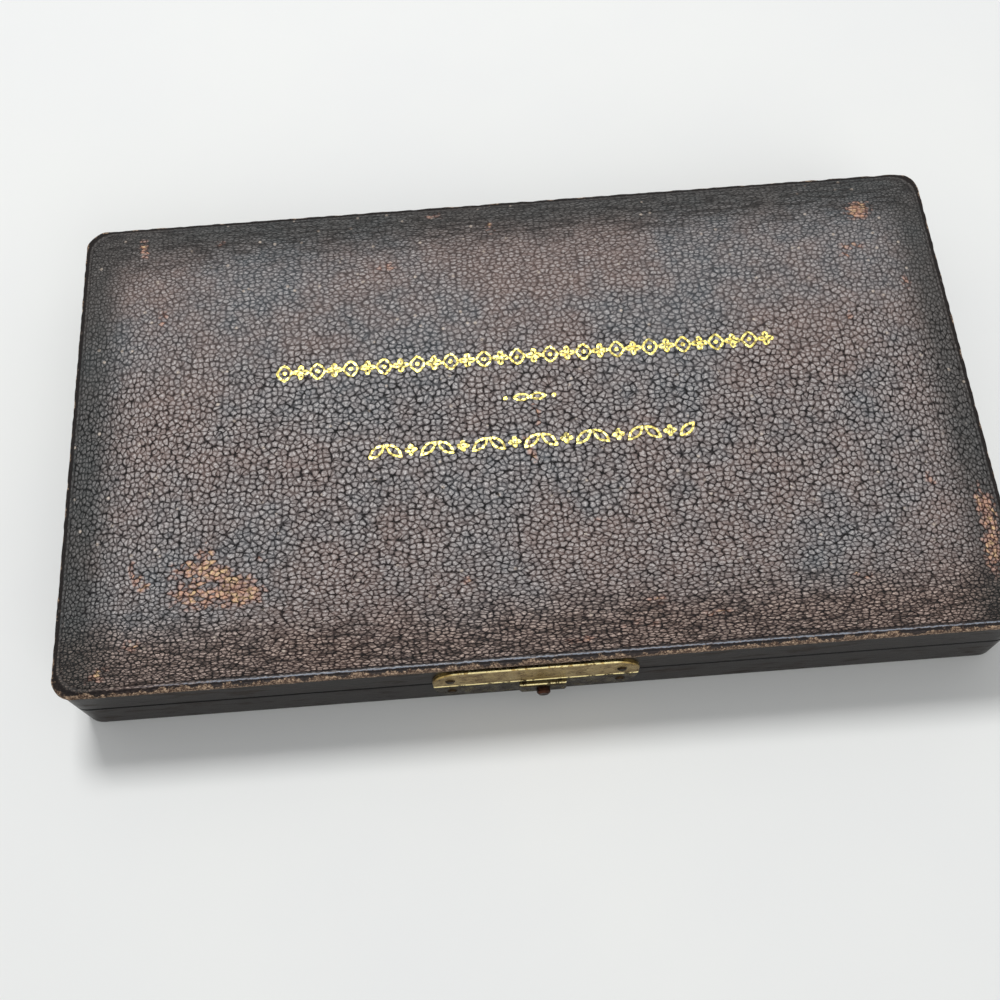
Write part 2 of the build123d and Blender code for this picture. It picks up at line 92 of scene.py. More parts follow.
# Worn places of the top leather: x, y, half length, half width, turn in degrees, strength
worn_places = [
    (-56.6, -23.6, 0.9, 1.9, 0, 0.9), (-60.7, -26.4, 2.2, 1.2, 15, 0.8),
    (-55.6, -27.0, 3.2, 1.7, -15, 0.95), (-51.4, -29.6, 3.2, 1.8, -32, 1.0),
    (-59.6, -31.0, 3.0, 2.4, 0, 0.75), (-53.6, -32.2, 4.0, 1.6, 0, 0.9),
    (-48.4, -31.9, 2.2, 1.3, 0, 0.9), (-46.8, -25.4, 1.8, 1.0, 0, 0.4),
    (-69.3, -25.4, 0.7, 1.3, 10, 0.6), (-68.4, -27.6, 0.7, 1.2, 20, 0.8),
    (-67.2, -29.1, 1.0, 0.8, 40, 0.8), (-70.5, 41.5, 0.9, 2.4, 10, 0.75),
    (-66.2, 25.0, 0.9, 2.6, -10, 0.65), (-55.7, 41.4, 1.4, 0.8, 0, 0.5),
    (69.0, 38.4, 1.9, 1.7, 10, 1.5), (66.4, 30.2, 2.2, 0.9, 0, 0.6),
    (64.4, 28.0, 1.0, 0.8, 0, 0.6), (74.8, 21.6, 0.8, 1.8, 0, 0.6),
    (79.0, -25.6, 1.5, 3.4, 5, 1.0), (78.4, -33.4, 1.6, 4.0, -5, 0.95),
    (79.6, -43.5, 1.2, 1.8, 0, 0.7), (2.8, -1.8, 0.8, 2.8, 8, 0.6),
    (1.0, -8.6, 0.8, 3.2, 12, 0.65), (11.7, -23.0, 0.7, 1.6, 0, 0.55),
    (-11.2, -32.3, 1.6, 0.7, 10, 0.55), (-13.4, 44.8, 1.6, 0.8, 0, 0.65),
    (-3.0, 40.6, 0.8, 1.8, 20, 0.5), (-23.3, 32.9, 2.4, 1.2, 0, 0.4),
    (-69.0, -39.6, 1.6, 1.2, 30, 0.6), (-74.4, -44.2, 1.8, 1.0, 40, 0.7),
    (20.6, -38.6, 3.0, 0.9, 0, 0.5), (16.7, -42.4, 3.4, 0.8, 0, 0.5),
    (6.4, -44.2, 4.0, 0.6, 0, 0.5), (30.3, -41.4, 2.6, 0.7, 0, 0.45),
    (54.8, -36.8, 2.2, 0.8, 0, 0.45), (63.0, 14.6, 0.8, 1.4, 0, 0.45),
    (70.5, -20.1, 0.9, 1.6, 0, 0.4),
]

# Gold tooling on the lid: three rows, each with its middle, length and height
tooling_pitch = 3.1
tooling_stroke = 0.42
gold_thickness = 0.05
gold_lift = 0.02
row_one = {"x": 1.7, "y": 10.9, "length": 92.5, "height": 3.2}
row_two = {"x": 1.8, "y": 2.3, "length": 11.9, "height": 2.4}
row_three = {"x": 1.5, "y": -6.7, "length": 59.0, "height": 2.9}

# Pipettes and their bulbs
tip_radius = 0.8
tip_taper = 12.0
stem_radius = 2.6
olive_length = 9.0
olive_end_radius = 1.7
bulb_shoulder = 5.0
bulb_wall = 0.8
bulb_start = 68.0
bulb_lengths = {"red": 27.0, "white": 17.0}
bore_radii = {"red": 0.3, "white": 0.4}
glass_turn = 48

# Velvet rests
nap_step = 0.32
nap_roundness = 0.8
recess_clearance = 0.4
recess_lip = 0.25
groove_clearance = 0.3
groove_blend = 0.5
notch_radius = 5.0
notch_sunk = 2.8

# Satin pad of the lid
pad_swell = 11.0
pad_tuck = 0.08
pucker_depth = 0.14
pucker_reach = 6.0
pucker_end = 24.0

# Camera: the lens and the place from which the photograph was taken, and how it was held
camera_place = (-6.6, -103.8, 211.7)
camera_azimuth = 1.02
camera_elevation = 65.91
camera_roll = -3.38
camera_lens = 43.2
camera_sensor = 36.0

# Studio: the floor's width and where it fades into the room, the world's strength as light and as seen,
# and each lamp's place, width, height and power, in metres and watts
floor_width = 30.0
floor_clear, floor_gone = 0.7, 3.0
world_light = 0.42
world_seen = 0.95
lamps = [
    ("high_back_lamp", (-0.12, 0.52, 1.06), 0.36, 0.3, 8.2),
    ("low_front_lamp", (0.5, -1.1, 0.8), 0.9, 0.9, 4.2),
]


def node_box(name):
    """Lowest and highest corner of a solid, in millimetres."""
    return tuple(np.array(corner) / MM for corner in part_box(name))


def waves(x, y, shortest, longest, count, seed):
    """Sum of plane sine waves in random directions, with lengths between two limits, of about unit size."""
    chance = np.random.default_rng(seed)
    total = np.zeros(np.broadcast(x, y).shape)
    for _ in range(count):
        way, phase = chance.uniform(0, tau, 2)
        length = chance.uniform(shortest, longest)
        total += np.sin(tau * (x * cos(way) + y * sin(way)) / length + phase)
    return total / count ** 0.5


def rings(half_x, half_y, radius, along_x, along_y, corner):
    """Rounded rectangles, one per row, counter-clockwise from the left end of the front side: each is four
    straight sides of evenly spaced points, joined by quarter circles about the corner centres."""
    half_x, half_y, radius = (np.reshape(v, (-1, 1)) for v in (half_x, half_y, radius))
    flat_x, flat_y = half_x - radius, half_y - radius
    run_x = np.linspace(-1, 1, along_x, endpoint=False)
    run_y = np.linspace(-1, 1, along_y, endpoint=False)
    turn = np.linspace(0, pi / 2, corner, endpoint=False)
    parts = []
    for quarter, (run, fixed_x) in enumerate(((run_x, False), (run_y, True), (run_x, False), (run_y, True))):
        sign = -1 if quarter in (0, 3) else 1
        if fixed_x:
            parts.append((sign * half_x + 0 * run, sign * flat_y * run))
        else:
            parts.append((-sign * flat_x * run, sign * half_y + 0 * run))
        centre_x = flat_x * (1 if quarter in (0, 1) else -1)
        centre_y = flat_y * (1 if quarter in (1, 2) else -1)
        angle = turn + (quarter - 1) * pi / 2
        parts.append((centre_x + radius * np.cos(angle), centre_y + radius * np.sin(angle)))
    return tuple(np.hstack([part[axis] for part in parts]) for axis in (0, 1))


def grid_faces(rows, columns, ring=True, closed=False):
    """Four-sided faces of a grid of points: ring joins the last column to the first, closed the last row."""
    index = np.arange(rows * columns).reshape(rows, columns)
    if ring:
        index = np.hstack([index, index[:, :1]])
    if closed:
        index = np.vstack([index, index[:1]])
    return np.stack([index[:-1, :-1], index[:-1, 1:], index[1:, 1:], index[1:, :-1]], -1).reshape(-1, 4)


def finish_piece(name, points, faces, material, body, weld=False, attributes=None):
    """Mesh piece from points in millimetres and lists of faces, smooth, riding on its body."""
    mesh = bpy.data.meshes.new(name)
    mesh.from_pydata(np.reshape(points, (-1, 3)) * MM, [], faces)
    for label, values in (attributes or {}).items():
        kind, key = ("FLOAT", "value") if np.ndim(values) == 1 else ("FLOAT_VECTOR", "vector")
        layer = mesh.attributes.new(label, kind, "POINT")
        layer.data.foreach_set(key, np.ravel(values).astype(np.float32))
    if weld:
        work = bmesh.new()
        work.from_mesh(mesh)
        bmesh.ops.remove_doubles(work, verts=work.verts, dist=1e-4 * MM)
        work.to_mesh(mesh)
        work.free()
    mesh.polygons.foreach_set("use_smooth", np.ones(len(mesh.polygons), bool))
    mesh.materials.append(material)
    piece = bpy.data.objects.new(name, mesh)
    bpy.context.scene.collection.objects.link(piece)
    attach(piece, body)
    return piece


def srgb(red, green, blue):
    """Colour written as display values from 0 to 255."""
    share = np.array([red, green, blue]) / 255
    linear = np.where(share <= 0.04045, share / 12.92, ((share + 0.055) / 1.055) ** 2.4)
    return (*linear.tolist(), 1.0)


def put(tree, kind, values=None, **options):
    """Shader node with its options set and its inputs set or linked, by name or number."""
    node = tree.nodes.new("ShaderNode" + kind)
    for option, value in options.items():
        setattr(node, option, value)
    for key, value in (values or {}).items():
        if isinstance(value, bpy.types.NodeSocket):
            tree.links.new(value, node.inputs[key])
        else:
            node.inputs[key].default_value = value
    return node


def calc(tree, operation, *values):
    """Result of a sum on one, two or three numbers."""
    return put(tree, "Math", dict(enumerate(values)), operation=operation).outputs[0]


def fade(tree, value, start, end):
    """Smooth change from 0 to 1 as a value goes from start to end."""
    return put(tree, "MapRange", {0: value, 1: start, 2: end}, interpolation_type="SMOOTHSTEP").outputs[0]


def span(tree, value, low, high):
    """A share from 0 to 1, spread between two numbers."""
    return put(tree, "MapRange", {0: value, 3: low, 4: high}).outputs[0]


def mix(tree, share, first, second):
    """Colour between two colours."""
    return put(tree, "Mix", {0: share, 6: first, 7: second}, data_type="RGBA").outputs[2]


def shaded(tree, colour, share):
    """Colour made darker by a share."""
    return put(tree, "Mix", {0: 1.0, 6: colour, 7: share}, data_type="RGBA", blend_type="MULTIPLY").outputs[2]


def cloud(tree, at, scale, detail=3.0, roughness=0.5):
    """Soft random value from 0 to 1, with features of one over scale in millimetres."""
    return put(tree, "TexNoise", {"Vector": at, "Scale": scale, "Detail": detail,
                                  "Roughness": roughness}).outputs[0]


def stretched(tree, at, x, y, z):
    """Place with each axis multiplied by its own number."""
    return put(tree, "VectorMath", {0: at, 1: (x, y, z)}, operation="MULTIPLY").outputs[0]


def parts_of(tree, at):
    """X, Y and Z of a place."""
    return put(tree, "SeparateXYZ", {0: at}).outputs


def bumped(tree, height, depth):
    """Normal of a relief whose height goes from 0 to 1 over a depth in millimetres."""
    return put(tree, "Bump", {"Height": height, "Distance": depth * MM, "Strength": 1.0}).outputs[0]


def shared_effect(name, inputs, outputs):
    """Node group with named inputs and outputs: the group, its inputs, and its output node."""
    group = bpy.data.node_groups.new(name, "ShaderNodeTree")
    for label, (kind, value) in inputs.items():
        socket = group.interface.new_socket(name=label, in_out="INPUT", socket_type="NodeSocket" + kind)
        if value is not None:
            socket.default_value = value
    for label, kind in outputs.items():
        group.interface.new_socket(name=label, in_out="OUTPUT", socket_type="NodeSocket" + kind)
    return group, group.nodes.new("NodeGroupInput").outputs, group.nodes.new("NodeGroupOutput").inputs


def join(group, outputs, **values):
    """Link values to the outputs of a group, by name."""
    for label, value in values.items():
        group.links.new(value, outputs[label])


def effect(tree, group, **values):
    """Outputs of a shared effect placed in a material with its own values."""
    node = tree.nodes.new("ShaderNodeGroup")
    node.node_tree = group
    for label, value in values.items():
        if isinstance(value, bpy.types.NodeSocket):
            tree.links.new(value, node.inputs[label])
        else:
            node.inputs[label].default_value = value
    return node.outputs


def finish_of(name, at_name="", **fixed):
    """New material: its tree, its surface shader, and the place in millimetres that its pattern follows."""
    material = bpy.data.materials.new(name)
    material.use_nodes = True
    tree = material.node_tree
    surface = tree.nodes["Principled BSDF"]
    for label, value in fixed.items():
        surface.inputs[label.replace("_", " ")].default_value = value
    if at_name:
        at = put(tree, "Attribute", attribute_name=at_name).outputs["Vector"]
    else:
        place = put(tree, "TexCoord").outputs["Object"]
        at = put(tree, "VectorMath", {0: place, "Scale": 1 / MM}, operation="SCALE").outputs[0]
    return material, tree, surface, at


def drive(tree, surface, **values):
    """Link values to the inputs of the surface shader, by name."""
    for label, value in values.items():
        tree.links.new(value, surface.inputs[label.replace("_", " ")])


def make_mottle():
    """Two colours in soft clouds of one size, with finer clouds in them."""
    group, given, out = shared_effect(
        "mottled_colour",
        {"At": ("Vector", None), "Size": ("Float", 10.0), "First": ("Color", None), "Second": ("Color", None)},
        {"Colour": "Color", "Share": "Float"})
    coarse = cloud(group, given["At"], calc(group, "DIVIDE", 1.0, given["Size"]), 4.0, 0.6)
    share = fade(group, coarse, 0.36, 0.64)
    join(group, out, Colour=mix(group, share, given["First"], given["Second"]), Share=share)
    return group


def make_pebbles():
    """Pebbled leather grain: irregular rounded cells that rise steeply from narrow creases, with creases
    that deepen round clusters of cells and fade in and out, and a fine pore relief."""
    group, given, out = shared_effect(
        "pebbled_grain",
        {"At": ("Vector", None), "Cell": ("Float", 1.0), "Crease": ("Float", 0.16)},
        {"Height": "Float", "Crease": "Float", "Tone": "Float"})
    at, density = given["At"], calc(group, "DIVIDE", 1.0, given["Cell"])
    shake = put(group, "TexNoise", {"Vector": at, "Scale": density, "Detail": 3.0}).outputs["Color"]
    push = put(group, "VectorMath", {0: shake, 1: (0.5, 0.5, 0.5)}, operation="SUBTRACT").outputs[0]
    push = put(group, "VectorMath", {0: push, "Scale": 0.85}, operation="SCALE").outputs[0]
    bent = put(group, "VectorMath", {0: at, 1: push}, operation="ADD").outputs[0]
    flat = stretched(group, bent, 1, 1, 0)
    layout = {"Vector": flat, "Scale": density, "Randomness": 0.95}
    cell = put(group, "TexVoronoi", layout, voronoi_dimensions="2D").outputs
    tone = parts_of(group, cell["Color"])[0]
    edge = put(group, "TexVoronoi", layout, voronoi_dimensions="2D", feature="DISTANCE_TO_EDGE").outputs[0]
    corner = calc(group, "MAXIMUM", calc(group, "SUBTRACT", cell["Distance"], 0.34), 0.0)
    edge = calc(group, "SUBTRACT", edge, calc(group, "MULTIPLY", corner, 0.4))
    wider = {**layout, "Scale": calc(group, "MULTIPLY", density, 0.42)}
    cluster = put(group, "TexVoronoi", wider, voronoi_dimensions="2D", feature="DISTANCE_TO_EDGE").outputs[0]
    valley = fade(group, cluster, 0.17, 0.0)
    uneven = fade(group, cloud(group, at, 0.7, 4.0, 0.6), 0.36, 0.66)
    strength = calc(group, "MAXIMUM", valley, uneven)
    wide = calc(group, "MULTIPLY", given["Crease"], span(group, strength, 0.45, 1.6))
    crease = calc(group, "MULTIPLY", fade(group, edge, wide, -0.03), span(group, strength, 0.35, 1.0))
    finer = {**layout, "Scale": calc(group, "MULTIPLY", density, 1.9)}
    small = put(group, "TexVoronoi", finer, voronoi_dimensions="2D", feature="DISTANCE_TO_EDGE").outputs[0]
    in_places = fade(group, cloud(group, at, 0.9, 3.0), 0.4, 0.6)
    hair = calc(group, "MULTIPLY", fade(group, small, 0.12, 0.0), in_places)
    crease = calc(group, "MAXIMUM", crease, calc(group, "MULTIPLY", hair, 0.5))
    rise = put(group, "MapRange", {0: edge, 1: -0.04, 2: 0.3}).outputs[0]
    dome = calc(group, "POWER", rise, 0.6)
    pores = cloud(group, at, 2.6, 4.0, 0.7)
    height = calc(group, "MULTIPLY_ADD", dome, span(group, tone, 0.62, 0.95),
                  calc(group, "MULTIPLY", pores, 0.4))
    height = calc(group, "SUBTRACT", height, calc(group, "MULTIPLY", valley, 0.22))
    height = calc(group, "SUBTRACT", height, calc(group, "MULTIPLY", hair, 0.16))
    join(group, out, Height=height, Crease=crease, Tone=tone)
    return group


def make_scratches():
    """Fine straight scratches in two directions, broken into short lengths."""
    group, given, out = shared_effect(
        "fine_scratches", {"At": ("Vector", None), "Density": ("Float", 1.0)}, {"Mask": "Float"})
    marks = []
    for turn, long in ((0.35, 0.10), (-0.9, 0.16)):
        turned = put(group, "VectorRotate", {"Vector": given["At"], "Angle": turn}, rotation_type="Y_AXIS")
        drawn = stretched(group, turned.outputs[0], long, 1.0, 3.2)
        lines = cloud(group, drawn, calc(group, "MULTIPLY", given["Density"], 2.4), 2.0, 0.55)
        marks.append(fade(group, calc(group, "ABSOLUTE", calc(group, "SUBTRACT", lines, 0.5)), 0.016, 0.0))
    broken = fade(group, cloud(group, given["At"], 0.5, 2.0), 0.45, 0.65)
    join(group, out, Mask=calc(group, "MULTIPLY", calc(group, "MAXIMUM", *marks), broken))
    return group


def make_tarnish():
    """Brass gone dull in clouds, with small dark spots: its colour, roughness and relief."""
    group, given, out = shared_effect(
        "tarnished_metal",
        {"At": ("Vector", None), "Bright": ("Color", None), "Dull": ("Color", None), "Spot": ("Color", None),
         "Age": ("Float", 0.5)},
        {"Colour": "Color", "Roughness": "Float", "Height": "Float"})
    at = given["At"]
    clouds = calc(group, "ADD", cloud(group, at, 0.42, 5.0, 0.62), calc(group, "SUBTRACT", given["Age"], 0.5))
    dull = fade(group, clouds, 0.38, 0.66)
    spots = calc(group, "ADD", cloud(group, at, 2.3, 3.0, 0.6), calc(group, "MULTIPLY", dull, 0.08))
    spot = fade(group, spots, 0.60, 0.70)
    pits = put(group, "TexVoronoi", {"Vector": at, "Scale": 1.4}).outputs[0]
    pit = calc(group, "MULTIPLY", fade(group, pits, 0.20, 0.08), fade(group, cloud(group, at, 0.7), 0.5, 0.6))
    dark = calc(group, "MAXIMUM", calc(group, "MULTIPLY", spot, 0.8), pit)
    colour = mix(group, dark, mix(group, dull, given["Bright"], given["Dull"]), given["Spot"])
    rough = calc(group, "ADD", span(group, dull, 0.26, 0.44), calc(group, "MULTIPLY", dark, 0.22))
    height = calc(group, "SUBTRACT", calc(group, "MULTIPLY", clouds, 0.5), calc(group, "MULTIPLY", dark, 0.5))
    join(group, out, Colour=colour, Roughness=rough, Height=height)
    return group


def make_nap():
    """Cut pile of velvet: short fibres, brushed patches that look lighter or darker, and a fine relief."""
    group, given, out = shared_effect(
        "velvet_nap",
        {"At": ("Vector", None), "Deep": ("Color", None), "Brushed": ("Color", None)},
        {"Colour": "Color", "Height": "Float", "Roughness": "Float"})
    at = given["At"]
    fibres = cloud(group, at, 5.5, 4.0, 0.7)
    brushed = fade(group, cloud(group, stretched(group, at, 1.0, 0.45, 1.0), 0.16, 4.0, 0.6), 0.34, 0.68)
    share = calc(group, "MULTIPLY_ADD", brushed, 0.62, calc(group, "MULTIPLY", fibres, 0.38))
    join(group, out, Colour=mix(group, share, given["Deep"], given["Brushed"]), Height=fibres,
         Roughness=span(group, brushed, 0.82, 0.95))
    return group


def make_smooth_hide():
    """Smooth leather: small pores, long soft creases and rubbed patches."""
    group, given, out = shared_effect(
        "smooth_hide",
        {"At": ("Vector", None), "Dark": ("Color", None), "Rubbed": ("Color", None)},
        {"Colour": "Color", "Height": "Float", "Roughness": "Float"})
    at = given["At"]
    pores = cloud(group, at, 3.0, 4.0, 0.7)
    folds = cloud(group, stretched(group, at, 0.35, 0.35, 2.0), 0.9, 3.0, 0.55)
    rubbed = fade(group, cloud(group, stretched(group, at, 0.4, 0.4, 1.4), 0.35, 5.0, 0.65), 0.5, 0.74)
    height = calc(group, "MULTIPLY_ADD", folds, 0.7, calc(group, "MULTIPLY", pores, 0.3))
    join(group, out, Colour=mix(group, rubbed, given["Dark"], given["Rubbed"]), Height=height,
         Roughness=span(group, calc(group, "ADD", rubbed, calc(group, "MULTIPLY", pores, 0.4)), 0.3, 0.52))
    return group


mottle, pebbles, scratches = make_mottle(), make_pebbles(), make_scratches()
tarnish, nap, smooth_hide = make_tarnish(), make_nap(), make_smooth_hide()


def top_leather_finish():
    """Pebbled black-brown leather with worn tan places, a rubbed red-brown front and a frayed edge, with
    painted light: shade on the back, left and right borders and in the creases and folds, a sheen on the cell
    tops along with their real rubbing, and a bluish highlight on the tooled line."""
    material, tree, surface, at = finish_of("pebbled_top_leather", "grain_at", Specular_IOR_Level=0.26)
    plan = put(tree, "VectorMath", {0: put(tree, "TexCoord").outputs["Object"], "Scale": 1 / MM},
               operation="SCALE").outputs[0]
    x, y = parts_of(tree, plan)[:2]
    inset = put(tree, "Attribute", attribute_name="inset").outputs["Fac"]
    worn = put(tree, "Attribute", attribute_name="worn").outputs["Fac"]
    grain = effect(tree, pebbles, At=at, Cell=grain_cell, Crease=grain_crease)
    base = effect(tree, mottle, At=plan, Size=24.0, First=srgb(84, 91, 97), Second=srgb(122, 98, 90))["Colour"]
    fine = effect(tree, mottle, At=plan, Size=4.0, First=srgb(84, 82, 83), Second=srgb(122, 109, 105))["Colour"]
    colour = mix(tree, 0.45, base, fine)
    uneven = cloud(tree, plan, 0.12, 3.0)
    front = calc(tree, "MULTIPLY_ADD", uneven, 9.0, y)
    front_share = fade(tree, front, -29.0, -38.0)
    colour = mix(tree, calc(tree, "MULTIPLY", front_share, 0.75), colour, srgb(72, 49, 40))
    # Painted shade: the back border and both end borders, where the crown slopes away from the light, are
    # painted darker.
    border = fade(tree, inset, 14.0, 3.5)
    clear = fade(tree, calc(tree, "MULTIPLY_ADD", uneven, 40.0, y), 44.0, 22.0)
    behind = calc(tree, "MAXIMUM", fade(tree, y, 28.0, 40.0), fade(tree, calc(tree, "ABSOLUTE", x), 68.0, 78.0))
    painted_border_shade = calc(tree, "MULTIPLY", calc(tree, "MULTIPLY", border, behind), 0.85)
    colour = mix(tree, painted_border_shade, colour, srgb(33, 37, 35))
    # Lighter cell tops: partly real rubbing of the high points, partly a painted sheen of the light on them;
    # less of it on the painted border shade.
    speck = fade(tree, cloud(tree, at, 2.4, 3.0, 0.75), 0.44, 0.66)
    rubbed = calc(tree, "MULTIPLY", fade(tree, grain["Height"], 0.35, 1.15), span(tree, speck, 0.3, 1.0))
    rubbed = calc(tree, "MULTIPLY", rubbed, span(tree, clear, 0.8, 1.0))
    rubbed_and_sheen_colour = mix(tree, front_share, srgb(216, 211, 209), srgb(240, 216, 202))
    colour = mix(tree, calc(tree, "MULTIPLY", rubbed, span(tree, painted_border_shade, 0.85, 0.2)), colour, rubbed_and_sheen_colour)
    speckle = cloud(tree, plan, 1.3, 4.0, 0.7)
    wear = calc(tree, "ADD", worn, calc(tree, "MULTIPLY", calc(tree, "SUBTRACT", speckle, 0.5), 1.5))
    wear = calc(tree, "ADD", wear, calc(tree, "MULTIPLY", calc(tree, "SUBTRACT", grain["Tone"], 0.5), 0.7))
    present = fade(tree, worn, 0.04, 0.25)
    bare_cell = calc(tree, "MULTIPLY", span(tree, grain["Tone"], 0.35, 1.0), fade(tree, speckle, 0.4, 0.52))
    reddened = calc(tree, "MULTIPLY", fade(tree, wear, 0.22, 0.62), present)
    rosy = mix(tree, fade(tree, grain["Height"], 0.45, 1.05), srgb(104, 66, 54), srgb(192, 156, 142))
    colour = mix(tree, calc(tree, "MULTIPLY", reddened, 0.8), colour, rosy)
    bared = calc(tree, "MULTIPLY", calc(tree, "MULTIPLY", fade(tree, wear, 0.6, 0.95), present), bare_cell)
    tan = mix(tree, fade(tree, cloud(tree, plan, 0.7, 3.0), 0.42, 0.6), srgb(214, 164, 136),
              srgb(238, 204, 152))
    colour = mix(tree, calc(tree, "MULTIPLY", bared, 0.9), colour, tan)
    wear = calc(tree, "MAXIMUM", calc(tree, "MULTIPLY", reddened, 0.5), bared)
    dots = put(tree, "TexVoronoi", {"Vector": plan, "Scale": 0.36}).outputs
    chosen = fade(tree, parts_of(tree, dots["Color"])[1], 0.42, 0.44)
    dot = calc(tree, "MULTIPLY", fade(tree, dots["Distance"], 0.15, 0.06), chosen)
    colour = mix(tree, calc(tree, "MULTIPLY", dot, 0.8), colour, srgb(206, 192, 178))
    grained = fade(tree, inset, 1.25, 1.6)
    # Painted shade: long folds drawn together along the front and back borders are painted darker, and also
    # sunk a little in the relief.
    drawn = calc(tree, "MULTIPLY", fade(tree, calc(tree, "ABSOLUTE", y), 30.0, 43.0), grained)
    streak = fade(tree, cloud(tree, stretched(tree, plan, 0.32, 1.9, 1.0), 0.8, 4.0, 0.6), 0.52, 0.40)
    streak = calc(tree, "MULTIPLY", streak, drawn)
    colour = shaded(tree, colour, mix(tree, streak, (1, 1, 1, 1), srgb(134, 126, 122)))
    # Painted shade: the creases of the grain are painted darker, as shade falls in them.
    deep = calc(tree, "MULTIPLY", grain["Crease"], grained)
    deep = calc(tree, "MULTIPLY", deep, span(tree, clear, 0.6, 1.0))
    colour = shaded(tree, colour, mix(tree, deep, (1, 1, 1, 1), srgb(30, 25, 24)))
    wobble = calc(tree, "MULTIPLY_ADD", cloud(tree, plan, 1.3, 4.0, 0.65), 0.5, inset)
    line_away = calc(tree, "ABSOLUTE", calc(tree, "SUBTRACT", wobble, tooling_inset + 0.25))
    facing = fade(tree, calc(tree, "MULTIPLY_ADD", cloud(tree, plan, 0.25, 3.0), 3.0, y), -40.0, -44.0)
    faded = calc(tree, "MULTIPLY", facing, fade(tree, x, -72.0, -52.0))
    broken = fade(tree, cloud(tree, plan, 1.4, 4.0, 0.7), 0.34, 0.52)
    line = calc(tree, "MULTIPLY", fade(tree, line_away, 0.14, 0.05), span(tree, faded, 0.0, 0.95))
    line = calc(tree, "MULTIPLY", line, span(tree, broken, 0.25, 1.0))
    edge_dark = calc(tree, "MULTIPLY", fade(tree, wobble, 1.35, 1.1), 0.9)
    colour = mix(tree, edge_dark, colour, srgb(27, 22, 21))
    groove_away = calc(tree, "ABSOLUTE", calc(tree, "SUBTRACT", line_away, tooling_groove * 0.8))
    groove = fade(tree, groove_away, 0.3, 0.12)
    groove = calc(tree, "MULTIPLY", groove, span(tree, faded, 0.4, 0.9))
    colour = mix(tree, groove, colour, srgb(22, 18, 19))
    # Painted highlight: the tooled line is painted a pale bluish grey, standing for light on its glossy ridge;
    # it is broken in places and faded at the left and the back.
    colour = mix(tree, line, colour, srgb(138, 146, 158))
    shreds = cloud(tree, stretched(tree, plan, 1.0, 1.0, 2.0), 1.9, 5.0, 0.8)
    corner = calc(tree, "ADD", calc(tree, "ABSOLUTE", x), calc(tree, "ABSOLUTE", y))
    at_corner = fade(tree, corner, 123.0, 127.0)
    in_front = fade(tree, y, -40.0, -45.5)
    patchy = fade(tree, cloud(tree, plan, 0.28, 4.0, 0.6), 0.34, 0.64)
    reach = calc(tree, "ADD", span(tree, patchy, 0.1, 1.0),
                 calc(tree, "MULTIPLY", calc(tree, "MAXIMUM", at_corner, in_front), 0.5))
    frayed = fade(tree, calc(tree, "ADD", inset, calc(tree, "MULTIPLY", shreds, 0.9)), reach,
                  calc(tree, "SUBTRACT", reach, 0.25))
    straw = mix(tree, fade(tree, shreds, 0.34, 0.56), srgb(204, 176, 148), srgb(62, 44, 35))
    colour = mix(tree, calc(tree, "MULTIPLY", frayed, 0.9), colour, straw)
    smoothed = fade(tree, inset, 1.3, 1.7)
    relief = calc(tree, "SUBTRACT", grain["Height"], calc(tree, "MULTIPLY", streak, 0.5))
    relief = calc(tree, "MULTIPLY", relief, smoothed)
    relief = calc(tree, "ADD", relief, calc(tree, "MULTIPLY", calc(tree, "MULTIPLY", shreds, frayed), 0.7))
    rough = calc(tree, "ADD", span(tree, deep, 0.3, 0.85), calc(tree, "MULTIPLY", wear, 0.24))
    rough = calc(tree, "ADD", rough, calc(tree, "MULTIPLY", fade(tree, inset, 1.3, 0.9), 0.4))
    rough = calc(tree, "SUBTRACT", rough, calc(tree, "MULTIPLY", line, 0.18))
    dulled = calc(tree, "MULTIPLY", fade(tree, inset, 1.9, 1.5), span(tree, faded, 0.35, 0.0))
    rough = calc(tree, "ADD", rough, dulled)
    drive(tree, surface, Base_Color=colour, Roughness=rough, Normal=bumped(tree, relief, grain_depth))
    return material


def gold_finish():
    """Gold leaf pressed into the pebbled leather, missing in the deepest creases and where it is rubbed."""
    material, tree, surface, at = finish_of("tooled_gold_leaf", "grain_at")
    grain = effect(tree, pebbles, At=at, Cell=grain_cell, Crease=grain_crease)
    rubbed = fade(tree, cloud(tree, at, 1.7, 4.0, 0.7), 0.60, 0.68)
    gone = calc(tree, "MAXIMUM", calc(tree, "MULTIPLY", grain["Crease"], 0.75), rubbed)
    leaf = effect(tree, mottle, At=at, Size=1.6, First=srgb(250, 236, 136),
                  Second=srgb(234, 208, 100))["Colour"]
    drive(tree, surface, Base_Color=mix(tree, gone, leaf, srgb(72, 58, 40)),
          Metallic=span(tree, gone, 0.75, 0.0), Roughness=span(tree, gone, 0.34, 0.7),
          Normal=bumped(tree, grain["Height"], 0.06))
    return material


